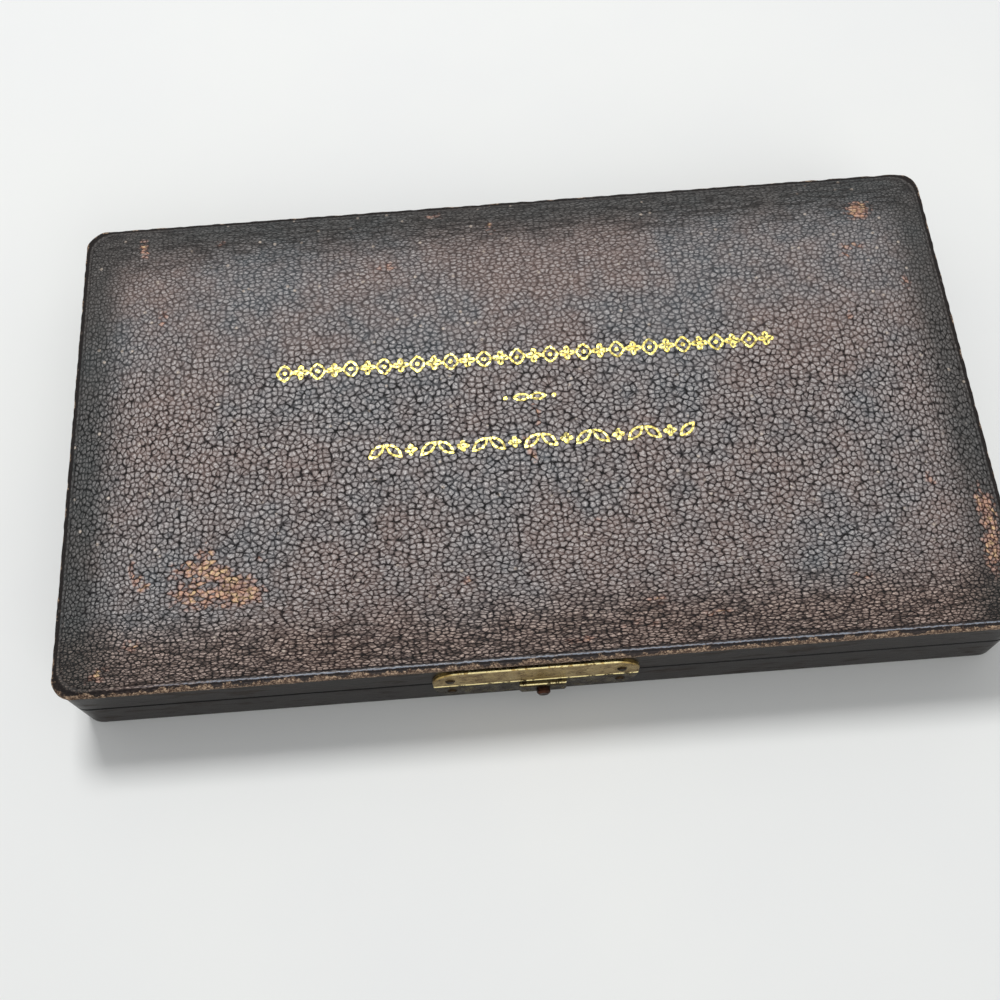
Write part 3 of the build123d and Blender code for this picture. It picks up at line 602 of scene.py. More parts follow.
def side_leather_finish():
    """Smooth glossy black-brown leather of the sides, rubbed brown along its edges and corners, with painted
    shade along the seam between lid and base.
    """
    material, tree, surface, at = finish_of("smooth_side_leather", Specular_IOR_Level=0.12)
    hide = effect(tree, smooth_hide, At=at, Dark=srgb(22, 18, 16), Rubbed=srgb(36, 27, 22))
    x, y, z = parts_of(tree, at)
    corner = calc(tree, "ADD", calc(tree, "ABSOLUTE", x), calc(tree, "ABSOLUTE", y))
    at_corner = fade(tree, corner, 122.0, 127.5)
    side_x, side_y = (float(value) for value in node_box("lid_side_leather")[1][:2])
    outer = calc(tree, "MAXIMUM", calc(tree, "SUBTRACT", calc(tree, "ABSOLUTE", x), side_x),
                 calc(tree, "SUBTRACT", calc(tree, "ABSOLUTE", y), side_y))
    outside = fade(tree, outer, -1.0, -0.25)
    top_edge, foot = cad_high[2] / MM - 2.6, 0.9
    edges = [fade(tree, z, foot, 0.0), fade(tree, z, top_edge, top_edge + 0.6)]
    # Painted shade: the leather next to the seam between lid and base is painted near black, as the shade in
    # the gap.
    seams = []
    for level in (node_box("base_side_leather")[1][2], node_box("lid_side_leather")[0][2]):
        away = calc(tree, "ABSOLUTE", calc(tree, "SUBTRACT", z, float(level)))
        seams.append(fade(tree, away, 0.5, 0.25))
    seam_shade = calc(tree, "MULTIPLY", calc(tree, "MAXIMUM", *seams), outside)
    edge = calc(tree, "MAXIMUM", *edges)
    place = calc(tree, "ADD", calc(tree, "MULTIPLY", edge, outside), calc(tree, "MULTIPLY", at_corner, 0.4))
    chips = cloud(tree, at, 0.9, 5.0, 0.7)
    wear = fade(tree, calc(tree, "MULTIPLY", place, chips), 0.46, 0.72)
    brown = effect(tree, mottle, At=at, Size=3.0, First=srgb(96, 62, 42), Second=srgb(140, 104, 70))["Colour"]
    colour = mix(tree, calc(tree, "MULTIPLY", wear, 0.85), hide["Colour"], brown)
    marks = effect(tree, scratches, At=at, Density=0.5)["Mask"]
    colour = mix(tree, calc(tree, "MULTIPLY", marks, 0.25), colour, srgb(88, 76, 66))
    colour = mix(tree, seam_shade, colour, srgb(5, 4, 4))
    rough = calc(tree, "ADD", hide["Roughness"], calc(tree, "MULTIPLY", wear, 0.25))
    drive(tree, surface, Base_Color=colour, Roughness=rough, Normal=bumped(tree, hide["Height"], 0.06))
    return material


def foot_leather_finish():
    """Thin pasted leather of the underside, dull and scuffed."""
    material, tree, surface, at = finish_of("pasted_foot_leather")
    hide = effect(tree, smooth_hide, At=at, Dark=srgb(38, 32, 29), Rubbed=srgb(64, 51, 42))
    scuffs = effect(tree, scratches, At=stretched(tree, at, 1.0, 0.3, 1.0), Density=0.4)["Mask"]
    colour = mix(tree, calc(tree, "MULTIPLY", scuffs, 0.4), hide["Colour"], srgb(112, 96, 80))
    grain = effect(tree, pebbles, At=at, Cell=0.7, Crease=0.12)
    # Painted shade: the creases of the grain are painted a little darker.
    colour = shaded(tree, colour, mix(tree, grain["Crease"], (1, 1, 1, 1), srgb(170, 166, 162)))
    rough = calc(tree, "ADD", hide["Roughness"], 0.18)
    drive(tree, surface, Base_Color=colour, Roughness=rough, Normal=bumped(tree, grain["Height"], 0.05))
    return material


def wood_finish():
    """Plain limewood of the rails and boards, with fine rings drawn out along the grain."""
    material, tree, surface, at = finish_of("limewood")
    bend = cloud(tree, at, 0.05, 2.0)
    along = stretched(tree, at, 0.04, 1.0, 1.0)
    rings_at = calc(tree, "MULTIPLY_ADD", bend, 16.0, calc(tree, "MULTIPLY", cloud(tree, along, 0.9), 6.0))
    ring = calc(tree, "ABSOLUTE", calc(tree, "SUBTRACT", calc(tree, "FRACT", rings_at), 0.5))
    fibre = cloud(tree, stretched(tree, at, 0.08, 2.4, 2.4), 1.6, 4.0, 0.65)
    tone = calc(tree, "MULTIPLY_ADD", ring, 0.9, calc(tree, "MULTIPLY", fibre, 0.5))
    colour = mix(tree, tone, srgb(196, 160, 112), srgb(154, 114, 72))
    drive(tree, surface, Base_Color=colour, Roughness=span(tree, fibre, 0.5, 0.75),
          Normal=bumped(tree, fibre, 0.04))
    return material


def wadding_finish():
    """Loose cotton wadding, off-white and fibrous."""
    material, tree, surface, at = finish_of("cotton_wadding", Sheen_Weight=0.3, Sheen_Roughness=0.5)
    fibre = cloud(tree, stretched(tree, at, 1.0, 0.4, 1.0), 1.8, 6.0, 0.75)
    colour = mix(tree, fibre, srgb(226, 220, 205), srgb(190, 180, 160))
    drive(tree, surface, Base_Color=colour, Roughness=span(tree, fibre, 0.85, 1.0),
          Normal=bumped(tree, fibre, 0.3))
    return material


def card_finish():
    """Grey pasteboard with specks of darker fibre."""
    material, tree, surface, at = finish_of("pasteboard")
    speck = fade(tree, cloud(tree, at, 3.0, 3.0, 0.7), 0.58, 0.7)
    base = effect(tree, mottle, At=at, Size=8.0, First=srgb(150, 140, 122), Second=srgb(132, 120, 102))
    colour = mix(tree, calc(tree, "MULTIPLY", speck, 0.5), base["Colour"], srgb(92, 80, 66))
    drive(tree, surface, Base_Color=colour, Roughness=span(tree, speck, 0.8, 0.92),
          Normal=bumped(tree, cloud(tree, at, 2.0, 4.0), 0.05))
    return material


def lining_finish():
    """Dark plum lining paper with a fine pressed rib, paler where it is rubbed along its upper edge."""
    material, tree, surface, at = finish_of("lining_paper")
    x, y, z = parts_of(tree, at)
    rib = calc(tree, "SINE", calc(tree, "MULTIPLY", calc(tree, "ADD", x, y), tau / 0.55))
    base = effect(tree, mottle, At=at, Size=6.0, First=srgb(62, 34, 60), Second=srgb(78, 46, 72))["Colour"]
    rubbed = fade(tree, calc(tree, "ADD", calc(tree, "ABSOLUTE", calc(tree, "SUBTRACT", z, 9.6)),
                             calc(tree, "MULTIPLY", cloud(tree, at, 1.2, 4.0), 1.0)), 1.1, 0.6)
    colour = mix(tree, calc(tree, "MULTIPLY", rubbed, 0.6), base, srgb(136, 106, 122))
    relief = calc(tree, "MULTIPLY_ADD", rib, 0.3, cloud(tree, at, 3.0, 3.0))
    drive(tree, surface, Base_Color=colour, Roughness=span(tree, rubbed, 0.62, 0.8),
          Normal=bumped(tree, relief, 0.03))
    return material


def velvet_finish():
    """Deep violet velvet with brushed patches."""
    material, tree, surface, at = finish_of("violet_velvet", Sheen_Weight=0.55, Sheen_Roughness=0.35,
                                            Sheen_Tint=srgb(196, 170, 214), Specular_IOR_Level=0.2)
    pile = effect(tree, nap, At=at, Deep=srgb(48, 22, 58), Brushed=srgb(86, 48, 98))
    drive(tree, surface, Base_Color=pile["Colour"], Roughness=pile["Roughness"],
          Normal=bumped(tree, pile["Height"], 0.16))
    return material


def satin_finish():
    """Violet satin with fine threads along the case, a soft gloss across them, and gathers that run in from the
    edge and fade out, painted darker as shade in their folds."""
    material, tree, surface, at = finish_of("violet_satin", Sheen_Weight=0.35, Sheen_Roughness=0.3,
                                            Sheen_Tint=srgb(222, 204, 232), Anisotropic=0.55)
    threads = cloud(tree, stretched(tree, at, 0.12, 5.0, 1.0), 2.2, 3.0, 0.6)
    faded = effect(tree, mottle, At=at, Size=34.0, First=srgb(118, 80, 134),
                   Second=srgb(128, 92, 142))["Colour"]
    colour = mix(tree, calc(tree, "MULTIPLY", threads, 0.5), faded, srgb(88, 54, 106))
    spots = fade(tree, cloud(tree, at, 0.35, 5.0, 0.6), 0.64, 0.74)
    colour = mix(tree, calc(tree, "MULTIPLY", spots, 0.15), colour, srgb(120, 92, 96))
    inset = put(tree, "Attribute", attribute_name="inset").outputs["Fac"]
    along = put(tree, "Attribute", attribute_name="along").outputs["Vector"]
    gather = cloud(tree, along, 0.42, 2.0, 0.4)
    gather = calc(tree, "MULTIPLY", fade(tree, gather, 0.3, 0.7), fade(tree, inset, 12.0, 0.5))
    # Painted shade: the gathers are painted darker, as shade falls in their folds.
    colour = shaded(tree, colour, mix(tree, gather, (1, 1, 1, 1), srgb(196, 188, 200)))
    relief = calc(tree, "SUBTRACT", calc(tree, "MULTIPLY", threads, 0.05), gather)
    drive(tree, surface, Base_Color=colour, Roughness=span(tree, threads, 0.28, 0.46),
          Normal=bumped(tree, relief, 0.5))
    return material


def chamber_glass_finish():
    """Clear ground glass with fine ruled squares on the two platforms and frosted cut faces."""
    material, tree, surface, at = finish_of("ruled_chamber_glass", Transmission_Weight=1.0, IOR=1.52,
                                            Specular_Tint=srgb(96, 98, 98))
    low, high = node_box("counting_chamber")
    middle_x, middle_y = (low[0] + high[0]) / 2, (low[1] + high[1]) / 2
    x, y, z = parts_of(tree, at)
    x = calc(tree, "SUBTRACT", x, float(middle_x))
    y = calc(tree, "SUBTRACT", calc(tree, "ABSOLUTE", calc(tree, "SUBTRACT", y, float(middle_y))), 4.5)
    lines = []
    for pitch, width, reach in ((1.0, 0.035, 1.5), (0.25, 0.012, 1.5), (0.05, 0.006, 0.5)):
        inside = calc(tree, "MULTIPLY", calc(tree, "LESS_THAN", calc(tree, "ABSOLUTE", x), reach + width),
                      calc(tree, "LESS_THAN", calc(tree, "ABSOLUTE", y), reach + width))
        for across in (x, y):
            beside = calc(tree, "PINGPONG", calc(tree, "ADD", across, 10.0), pitch / 2)
            lines.append(calc(tree, "MULTIPLY", calc(tree, "LESS_THAN", beside, width), inside))
    ruled = lines[0]
    for line in lines[1:]:
        ruled = calc(tree, "MAXIMUM", ruled, line)
    ruled = calc(tree, "MULTIPLY", ruled, fade(tree, z, float(high[2]) - 0.3, float(high[2]) - 0.15))
    smear = fade(tree, cloud(tree, at, 0.3, 5.0, 0.65), 0.5, 0.75)
    frosted = fade(tree, z, float(low[2]) + 2.9, float(low[2]) + 2.7)
    rough = calc(tree, "ADD", calc(tree, "MULTIPLY", smear, 0.06), calc(tree, "MULTIPLY", frosted, 0.12))
    rough = calc(tree, "MAXIMUM", rough, calc(tree, "MULTIPLY", ruled, 0.7))
    drive(tree, surface, Base_Color=mix(tree, ruled, srgb(240, 247, 244), srgb(120, 128, 132)), Roughness=rough,
          Normal=bumped(tree, smear, 0.002))
    return material


def cover_glass_finish():
    """Thin ground cover glass, faintly smeared."""
    material, tree, surface, at = finish_of("cover_glass", Transmission_Weight=1.0, IOR=1.52,
                                            Specular_Tint=srgb(96, 98, 98))
    smear = fade(tree, cloud(tree, at, 0.35, 5.0, 0.65), 0.48, 0.75)
    drive(tree, surface, Base_Color=mix(tree, smear, srgb(244, 250, 248), srgb(228, 240, 236)),
          Roughness=calc(tree, "MULTIPLY", smear, 0.08), Normal=bumped(tree, smear, 0.001))
    return material


def pipette_glass_finish():
    """Clear drawn glass with etched, blackened graduation lines along the stem."""
    material, tree, surface, at = finish_of("pipette_glass", Transmission_Weight=1.0, IOR=1.5)
    x = parts_of(tree, at)[0]
    tip = float(node_box("red_cell_pipette")[0][0])
    along = calc(tree, "SUBTRACT", x, tip)
    inside = calc(tree, "MULTIPLY", calc(tree, "GREATER_THAN", along, 17.0),
                  calc(tree, "LESS_THAN", along, 63.0))
    fine = calc(tree, "LESS_THAN", calc(tree, "PINGPONG", along, 2.25), 0.1)
    coarse = calc(tree, "LESS_THAN", calc(tree, "PINGPONG", along, 11.25), 0.2)
    mark = calc(tree, "MULTIPLY", calc(tree, "MAXIMUM", fine, coarse), inside)
    full = calc(tree, "LESS_THAN", calc(tree, "ABSOLUTE", calc(tree, "SUBTRACT", along, 98.0)), 0.2)
    mark = calc(tree, "MAXIMUM", mark, full)
    waviness = cloud(tree, stretched(tree, at, 0.3, 1.0, 1.0), 0.5, 2.0)
    drive(tree, surface, Base_Color=mix(tree, mark, srgb(246, 250, 250), srgb(30, 26, 26)),
          Roughness=calc(tree, "MULTIPLY", mark, 0.5), Normal=bumped(tree, waviness, 0.02))
    return material


def bead_finish(name, first, second):
    """Opaque glass of a mixing bead, with a faint swirl."""
    material, tree, surface, at = finish_of(name, Coat_Weight=0.4, Coat_Roughness=0.05)
    swirl = effect(tree, mottle, At=at, Size=1.2, First=first, Second=second)
    drive(tree, surface, Base_Color=swirl["Colour"], Roughness=span(tree, swirl["Share"], 0.12, 0.25),
          Normal=bumped(tree, cloud(tree, at, 2.0, 3.0), 0.02))
    return material


def brass_finish(name, bright, dull, spot, age, depth=0.03):
    """Brass in one state of tarnish, with fine scratches."""
    material, tree, surface, at = finish_of(name, Metallic=1.0)
    metal = effect(tree, tarnish, At=at, Bright=bright, Dull=dull, Spot=spot, Age=age)
    marks = effect(tree, scratches, At=at, Density=1.0)["Mask"]
    colour = mix(tree, calc(tree, "MULTIPLY", marks, 0.4), metal["Colour"], bright)
    relief = calc(tree, "SUBTRACT", metal["Height"], calc(tree, "MULTIPLY", marks, 0.4))
    drive(tree, surface, Base_Color=colour, Roughness=metal["Roughness"], Normal=bumped(tree, relief, depth))
    return material


def catch_plate_finish(name, node, fresh, dull, age, highlight_width):
    """Tarnished brass of a catch plate, speckled and finely scratched, with a painted highlight broken along
    the upper edge of its face, and its faces that point up made darker.
    """
    material, tree, surface, at = finish_of(name, Metallic=1.0)
    bright, top = srgb(228, 212, 156), float(node_box(node)[1][2])
    metal = effect(tree, tarnish, At=at, Bright=fresh, Dull=dull, Spot=srgb(46, 36, 24), Age=age)
    z = parts_of(tree, at)[2]
    fine = fade(tree, cloud(tree, at, 5.0, 3.0, 0.7), 0.56, 0.66)
    colour = mix(tree, calc(tree, "MULTIPLY", fine, 0.45), metal["Colour"], srgb(70, 54, 32))
    broken = cloud(tree, stretched(tree, at, 1.0, 1.0, 0.2), 0.8, 4.0, 0.7)
    # Painted highlight: a broken bright band along the upper edge of the front face.
    edge = calc(tree, "MULTIPLY", fade(tree, z, top - highlight_width, top - 0.12), fade(tree, broken, 0.4, 0.52))
    marks = effect(tree, scratches, At=at, Density=1.2)["Mask"]
    edge_highlight_and_scratches = calc(tree, "MAXIMUM", edge, calc(tree, "MULTIPLY", marks, 0.55))
    colour = mix(tree, edge_highlight_and_scratches, colour, bright)
    # Faces that point up are made darker.
    facing_up = parts_of(tree, put(tree, "TexCoord").outputs["Normal"])[2]
    upward_faces_darker = calc(tree, "MULTIPLY", fade(tree, facing_up, 0.84, 0.96), 0.85)
    colour = mix(tree, upward_faces_darker, colour, srgb(44, 35, 24))
    rough = calc(tree, "SUBTRACT", metal["Roughness"], calc(tree, "MULTIPLY", edge_highlight_and_scratches, 0.1))
    relief = calc(tree, "SUBTRACT", metal["Height"], calc(tree, "MULTIPLY", marks, 0.3))
    drive(tree, surface, Base_Color=colour, Roughness=rough, Normal=bumped(tree, relief, 0.04))
    return material


def floor_finish():
    """Pale matt tabletop with a faint unevenness of tone, which fades into the room far from the case."""
    material, tree, surface, at = finish_of("pale_tabletop", Specular_IOR_Level=0.25, Roughness=0.6)
    tone = effect(tree, mottle, At=at, Size=90.0, First=srgb(233, 234, 233), Second=srgb(235, 236, 234))
    away = put(tree, "VectorMath", {0: at}, operation="LENGTH").outputs["Value"]
    drive(tree, surface, Base_Color=tone["Colour"], Alpha=fade(tree, away, floor_gone / MM, floor_clear / MM))
    return material


def crown_height(inset):
    """Height of the crowned leather above the board, from its edge inwards: a swelling curve that levels
    out at the crown's width."""
    share = np.minimum(inset / crown_width, 1.0)
    return crown_edge + crown_rise * (1 - (1 - share) ** crown_swell) ** crown_fullness


def top_sink(x, y):
    """How far the middle of the leather lies below its highest level: a slight sag and soft waves."""
    return top_sag + top_unevenness * (1 + waves(x, y, 14, 46, 9, 4))


def worn_share(x, y):
    """Sum of soft ellipses, one at each worn place."""
    total = np.zeros(np.shape(x))
    for place_x, place_y, long, wide, turn, strength in worn_places:
        c, s = cos(radians(turn)), sin(radians(turn))
        along, across = (x - place_x) * c + (y - place_y) * s, (y - place_y) * c - (x - place_x) * s
        total += strength * np.exp(-(along / long) ** 2 - (across / wide) ** 2)
    return np.minimum(total, 1.4)


def grain_place(x, y, half_x, half_y):
    """Place in the leather as it lay flat: near each border it is spread, so that the grain looks drawn
    together across the border, most along the front and the back."""
    spread_x, spread_y = (stretch * border_reach for stretch in border_stretch)
    new_x = x + np.sign(x) * spread_x * np.exp(-np.maximum(half_x - np.abs(x), 0) / border_reach)
    new_y = y + np.sign(y) * spread_y * np.exp(-np.maximum(half_y - np.abs(y), 0) / border_reach)
    return np.stack([new_x, new_y, 0 * new_x], -1)


def top_leather(material):
    """Crowned leather of the lid as one closed shell. Rounded rectangles follow one profile: outwards
    below, up the rounded edge, over the tooled line and the swelling border, and in to the middle. The
    tooled line is a small ridge between two grooves, full along the front and a third as deep elsewhere."""
    low, high = node_box("lid_top_leather")
    half_x, half_y, board = high[0], high[1], low[2]
    under = np.concatenate([np.linspace(half_y, crown_width, 8), np.linspace(13.0, wadding_inset, 9)])
    under_z = crown_height(under) - leather_thickness
    under_z[under >= crown_width] -= top_sag
    foot, foot_z = np.array([wadding_inset, 0.2, 0.04]), np.array([0.0, 0.0, 0.04])
    lip = edge_rounding * (1 - np.cos(np.linspace(0, pi / 2, 8)))
    lip_rise = crown_height(edge_rounding) - edge_lip
    lip_z = edge_lip + lip_rise * np.sin(np.linspace(0, pi / 2, 8))
    border = np.concatenate([np.arange(0.37, 2.3, 0.075), 2.3 + 12.7 * np.linspace(0.02, 1, 24) ** 1.25])
    middle = np.linspace(crown_width, half_y, 28)[1:]
    tooling = -tooling_depth * (np.exp(-((border - tooling_inset - tooling_groove) / tooling_width) ** 2)
                                + np.exp(-((border - tooling_inset + tooling_groove) / tooling_width) ** 2))
    tooling += tooling_ridge * np.exp(-((border - tooling_inset) / tooling_width) ** 2)
    inset = np.concatenate([under, foot, lip, border, middle])
    tooling = np.concatenate([np.zeros(len(under) + len(foot) + len(lip)), tooling, np.zeros(len(middle))])
    level = np.concatenate([under_z, foot_z, lip_z, crown_height(border), crown_height(middle)])
    is_top = np.arange(len(inset)) >= len(under) + len(foot)
    hy = half_y - inset
    radius = np.minimum(crown_corner + crown_corner_growth * np.minimum(inset, crown_width), hy)
    x, y = rings(half_x - inset, hy, radius, 230, 126, 16)
    z = level[:, None] + tooling[:, None] * (0.35 + 0.65 * soft_step((tooling_front - y) / 5))
    d = inset[:, None]
    near_edge = np.where(is_top[:, None], np.exp(-(d / 0.45) ** 2), 0.0)
    fray = edge_fray * near_edge * np.maximum(1 + waves(x, y, 1.5, 5.0, 12, 11), 0) * 0.5
    x, y = x - np.sign(x) * fray * (np.abs(x) > half_x - 4), y - np.sign(y) * fray * (np.abs(y) > half_y - 4)
    z = z - fray * 1.4
    depth = np.clip(d / crown_width, 0, 1) ** 2
    z = z - np.where(is_top[:, None], depth * top_sink(x, y), 0)
    rolls = np.exp(-((d - 5.0) / 4.0) ** 2) * waves(x * 0.35, y * 0.35, 6, 11, 10, 8)
    z = z + np.where(is_top[:, None], 0.03 * rolls, 0)
    points = np.stack([x, y, board + z], -1)
    given = {"inset": np.where(is_top[:, None], d, 30.0) + 0 * x, "worn": worn_share(x, y),
             "grain_at": grain_place(x, y, half_x, half_y)}
    given = {label: values.reshape(-1, 3) if values.ndim == 3 else values.ravel()
             for label, values in given.items()}
    piece = finish_piece("crowned_top_leather", points, grid_faces(*x.shape), material, "lid",
                         weld=True, attributes=given)
    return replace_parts(piece, "lid_top_leather")


def stroke(x, y, width, closed):
    """Flat band of one width along a line of points: two edge points at each, half the width to each side."""
    ahead = [np.roll(v, -1) if closed else np.append(v[1:], 2 * v[-1] - v[-2]) for v in (x, y)]
    behind = [np.roll(v, 1) if closed else np.insert(v[:-1], 0, 2 * v[0] - v[1]) for v in (x, y)]
    run_x, run_y = ahead[0] - behind[0], ahead[1] - behind[1]
    size = np.hypot(run_x, run_y)
    side_x, side_y = -run_y / size * width / 2, run_x / size * width / 2
    return np.stack([x + side_x, x - side_x], -1), np.stack([y + side_y, y - side_y], -1)


def lozenge(size, points=24):
    """Closed line of a lozenge with slightly hollow sides: cosine and sine, each to the power 1.5."""
    turn = np.linspace(0, tau, points, endpoint=False)
    c, s = np.cos(turn), np.sin(turn)
    return np.sign(c) * np.abs(c) ** 1.5 * size * 0.42, np.sign(s) * np.abs(s) ** 1.5 * size * 0.5


def flower(size, petals=4, points=56):
    """Closed line of a flower: a circle whose radius swells once for each petal."""
    turn = np.linspace(0, tau, points, endpoint=False)
    radius = size * (0.33 + 0.14 * np.cos(petals * turn))
    return radius * np.cos(turn), radius * np.sin(turn)


def dot(size, points=12):
    """Closed line of a small ring, narrow enough for its band to fill it."""
    turn = np.linspace(0, tau, points, endpoint=False)
    return size * np.cos(turn), size * np.sin(turn)


def leaf(size, points=22):
    """Closed line of a pointed leaf: two sine arches, one above and one below."""
    share = np.linspace(0, 2, points, endpoint=False)
    return size * 0.62 * np.where(share < 1, 2 * share - 1, 3 - 2 * share), size * 0.26 * np.sin(pi * share)


def turned(line, degrees):
    """Line turned about its middle."""
    c, s = cos(radians(degrees)), sin(radians(degrees))
    return line[0] * c - line[1] * s, line[0] * s + line[1] * c


def gold_row(name, row, motifs, material, half_x, half_y, level):
    """Row of pressed gold ornaments. Each motif is a closed line, drawn as a thin band that follows the
    leather; the motifs are repeated in turn along the row."""
    count = max(int(round(row["length"] / tooling_pitch)), 1)
    places = row["x"] + (np.arange(count) - (count - 1) / 2) * row["length"] / count
    points, faces = [], []
    for number, place in enumerate(places):
        for line in motifs[number % len(motifs)]:
            edge_x, edge_y = stroke(line[0] + place, line[1] + row["y"], tooling_stroke, True)
            top = level - top_sink(edge_x, edge_y) + gold_lift
            section_x = np.concatenate([edge_x, edge_x[:, ::-1]], 1)
            section_y = np.concatenate([edge_y, edge_y[:, ::-1]], 1)
            section_z = np.concatenate([top, top[:, ::-1] - gold_thickness], 1)
            faces.append(grid_faces(len(section_x), 4, closed=True) + sum(map(len, points)))
            points.append(np.stack([section_x, section_y, section_z], -1).reshape(-1, 3))
    points, faces = np.concatenate(points), np.concatenate(faces)
    where = grain_place(points[:, 0], points[:, 1], half_x, half_y)
    piece = finish_piece(name, points, faces, material, "lid",
                         attributes={"grain_at": where})
    work = bmesh.new()
    work.from_mesh(piece.data)
    bmesh.ops.recalc_face_normals(work, faces=work.faces)
    work.to_mesh(piece.data)
    work.free()
    piece.data.polygons.foreach_set("use_smooth", np.zeros(len(piece.data.polygons), bool))
    return piece


def gold_tooling(material):
    """Three rows of ornament where the lid is tooled: lozenges and flowers, two leaves between dots, and leaves
    turned both ways between small flowers."""
    _, high = node_box("lid_top_leather")
    half_x, half_y, level = high[0], high[1], high[2]
    size = row_one["height"]
    bud = dot(tooling_stroke * 0.5)
    gold_row("gold_upper_row", row_one, [[lozenge(size), bud], [flower(size * 0.86), bud]],
             material, half_x, half_y, level)
    size = row_two["height"]
    gold_row("gold_middle_row", row_two, [[bud], [leaf(size)], [leaf(size)], [bud]],
             material, half_x, half_y, level)
    size = row_three["height"]
    gold_row("gold_lower_row", row_three,
             [[turned(leaf(size), 42)], [turned(leaf(size), -42)], [flower(size * 0.7)]],
             material, half_x, half_y, level)


def smooth_lower(first, second, blend):
    """The lower of two surfaces, with the edge between them rounded over a blend."""
    overlap = np.maximum(blend - np.abs(first - second), 0) / blend
    return np.minimum(first, second) - overlap ** 2 * blend / 4


def soft_step(value):
    """Smooth change from 0 to 1 as a value goes from 0 to 1."""
    share = np.clip(value, 0, 1)
    return share * share * (3 - 2 * share)


def velvet_surface(x, y, low, high):
    """Top of a velvet-covered block: level, rounded over at its edges, with a slight unevenness."""
    edge = np.minimum(np.minimum(x - low[0], high[0] - x), np.minimum(y - low[1], high[1] - y))
    share = 1 - np.clip(edge / nap_roundness, 0, 1)
    return high[2] - nap_roundness * (1 - np.sqrt(1 - share ** 2)) - 0.05 * (1 + waves(x, y, 5, 16, 9, 21)) / 2


def recess_floor(x, y, node, clearance, sunk_to, top):
    """Sunk place for a flat glass: a box round it, with steep walls."""
    low, high = node_box(node)
    inside = np.minimum(np.minimum(x - low[0], high[0] - x), np.minimum(y - low[1], high[1] - y)) + clearance
    return top - (top - sunk_to) * soft_step((inside + recess_lip) / (2 * recess_lip))


def pipette_groove(x, y, colour):
    """Groove for a pipette: the lower half of a cylinder that widens for the bulb, cut off before the tip."""
    low, high = node_box(f"{colour}_cell_pipette")
    axis_y, axis_z = (low[1] + high[1]) / 2, (low[2] + high[2]) / 2
    bulb_radius = (high[2] - low[2]) / 2
    start, end = low[0] + bulb_start, low[0] + bulb_start + bulb_lengths[colour]
    widen = soft_step((x - start + 2.6) / 2.4) * soft_step((end - x + 2.6) / 2.4)
    radius = stem_radius + groove_clearance + (bulb_radius - stem_radius) * widen
    rise = np.sqrt(np.maximum(radius ** 2 - (y - axis_y) ** 2, 0))
    depth = np.where(rise > 0, axis_z - rise, 1e3)
    return depth + 30 * soft_step((low[0] - recess_clearance - x) / 0.3 + 1)


def height_field(x, y, z, foot):
    """Closed block under a grid of heights: the top, upright walls down to the foot, and a flat underside."""
    rows, columns = z.shape
    points = np.stack([x, y, z], -1).reshape(-1, 3)
    index = np.arange(rows * columns).reshape(rows, columns)
    rim = np.concatenate([index[0, :-1], index[:-1, -1], index[-1, :0:-1], index[:0:-1, 0]])
    lower = points[rim] * [1, 1, 0] + [0, 0, foot]
    foot_index = rows * columns + np.arange(len(rim))
    walls = np.stack([np.roll(rim, -1), rim, foot_index, np.roll(foot_index, -1)], -1)
    faces = grid_faces(rows, columns, ring=False).tolist() + walls.tolist() + [foot_index[::-1].tolist()]
    return np.vstack([points, lower]), faces


def grid_over(low, high, pitch):
    """Even grid of places over a box, as rows along Y and columns along X."""
    columns, rows = (int(round((high[axis] - low[axis]) / pitch)) + 1 for axis in (0, 1))
    return np.meshgrid(np.linspace(low[0], high[0], columns), np.linspace(low[1], high[1], rows))


def velvet_rests(material):
    """Velvet-covered rests, sunk for the chamber, the spare cover glass, its finger notch and the pipettes."""
    for side in ("left", "right"):
        node = f"{side}_velvet_rest"
        low, high = node_box(node)
        x, y = grid_over(low, high, nap_step)
        z = velvet_surface(x, y, low, high)
        chamber_low = node_box("counting_chamber")[0]
        z = smooth_lower(z, recess_floor(x, y, "counting_chamber", recess_clearance, chamber_low[2] - 0.02,
                                         high[2] + 0.6), groove_blend)
        if side == "left":
            glass_low, glass_high = node_box("spare_cover_glass")
            z = smooth_lower(z, recess_floor(x, y, "spare_cover_glass", recess_clearance, glass_low[2] - 0.02,
                                             high[2] + 0.6), groove_blend)
            away = np.hypot(x - (glass_low[0] + glass_high[0]) / 2, y - glass_high[1])
            bowl = high[2] + 0.6 - (notch_sunk + 0.6) * soft_step((notch_radius + 0.6 - away) / 2.2)
            z = smooth_lower(z, bowl, groove_blend)
        for colour in bulb_lengths:
            z = smooth_lower(z, pipette_groove(x, y, colour), groove_blend)
        points, faces = height_field(x, y, z, low[2])
        piece = finish_piece(f"{side}_rest_velvet", points, faces, material, "case_base")
        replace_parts(piece, node)


def floor_velvet(material):
    """Velvet pasted on the floor board between the rests: a thin slab with a slightly uneven nap."""
    low, high = node_box("base_floor_velvet")
    x, y = grid_over(low, high, 1.2)
    z = high[2] - 0.06 * (1 + waves(x, y, 5, 16, 9, 33)) / 2
    points, faces = height_field(x, y, z, low[2])
    piece = finish_piece("floor_velvet_sheet", points, faces, material, "case_base")
    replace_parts(piece, "base_floor_velvet")


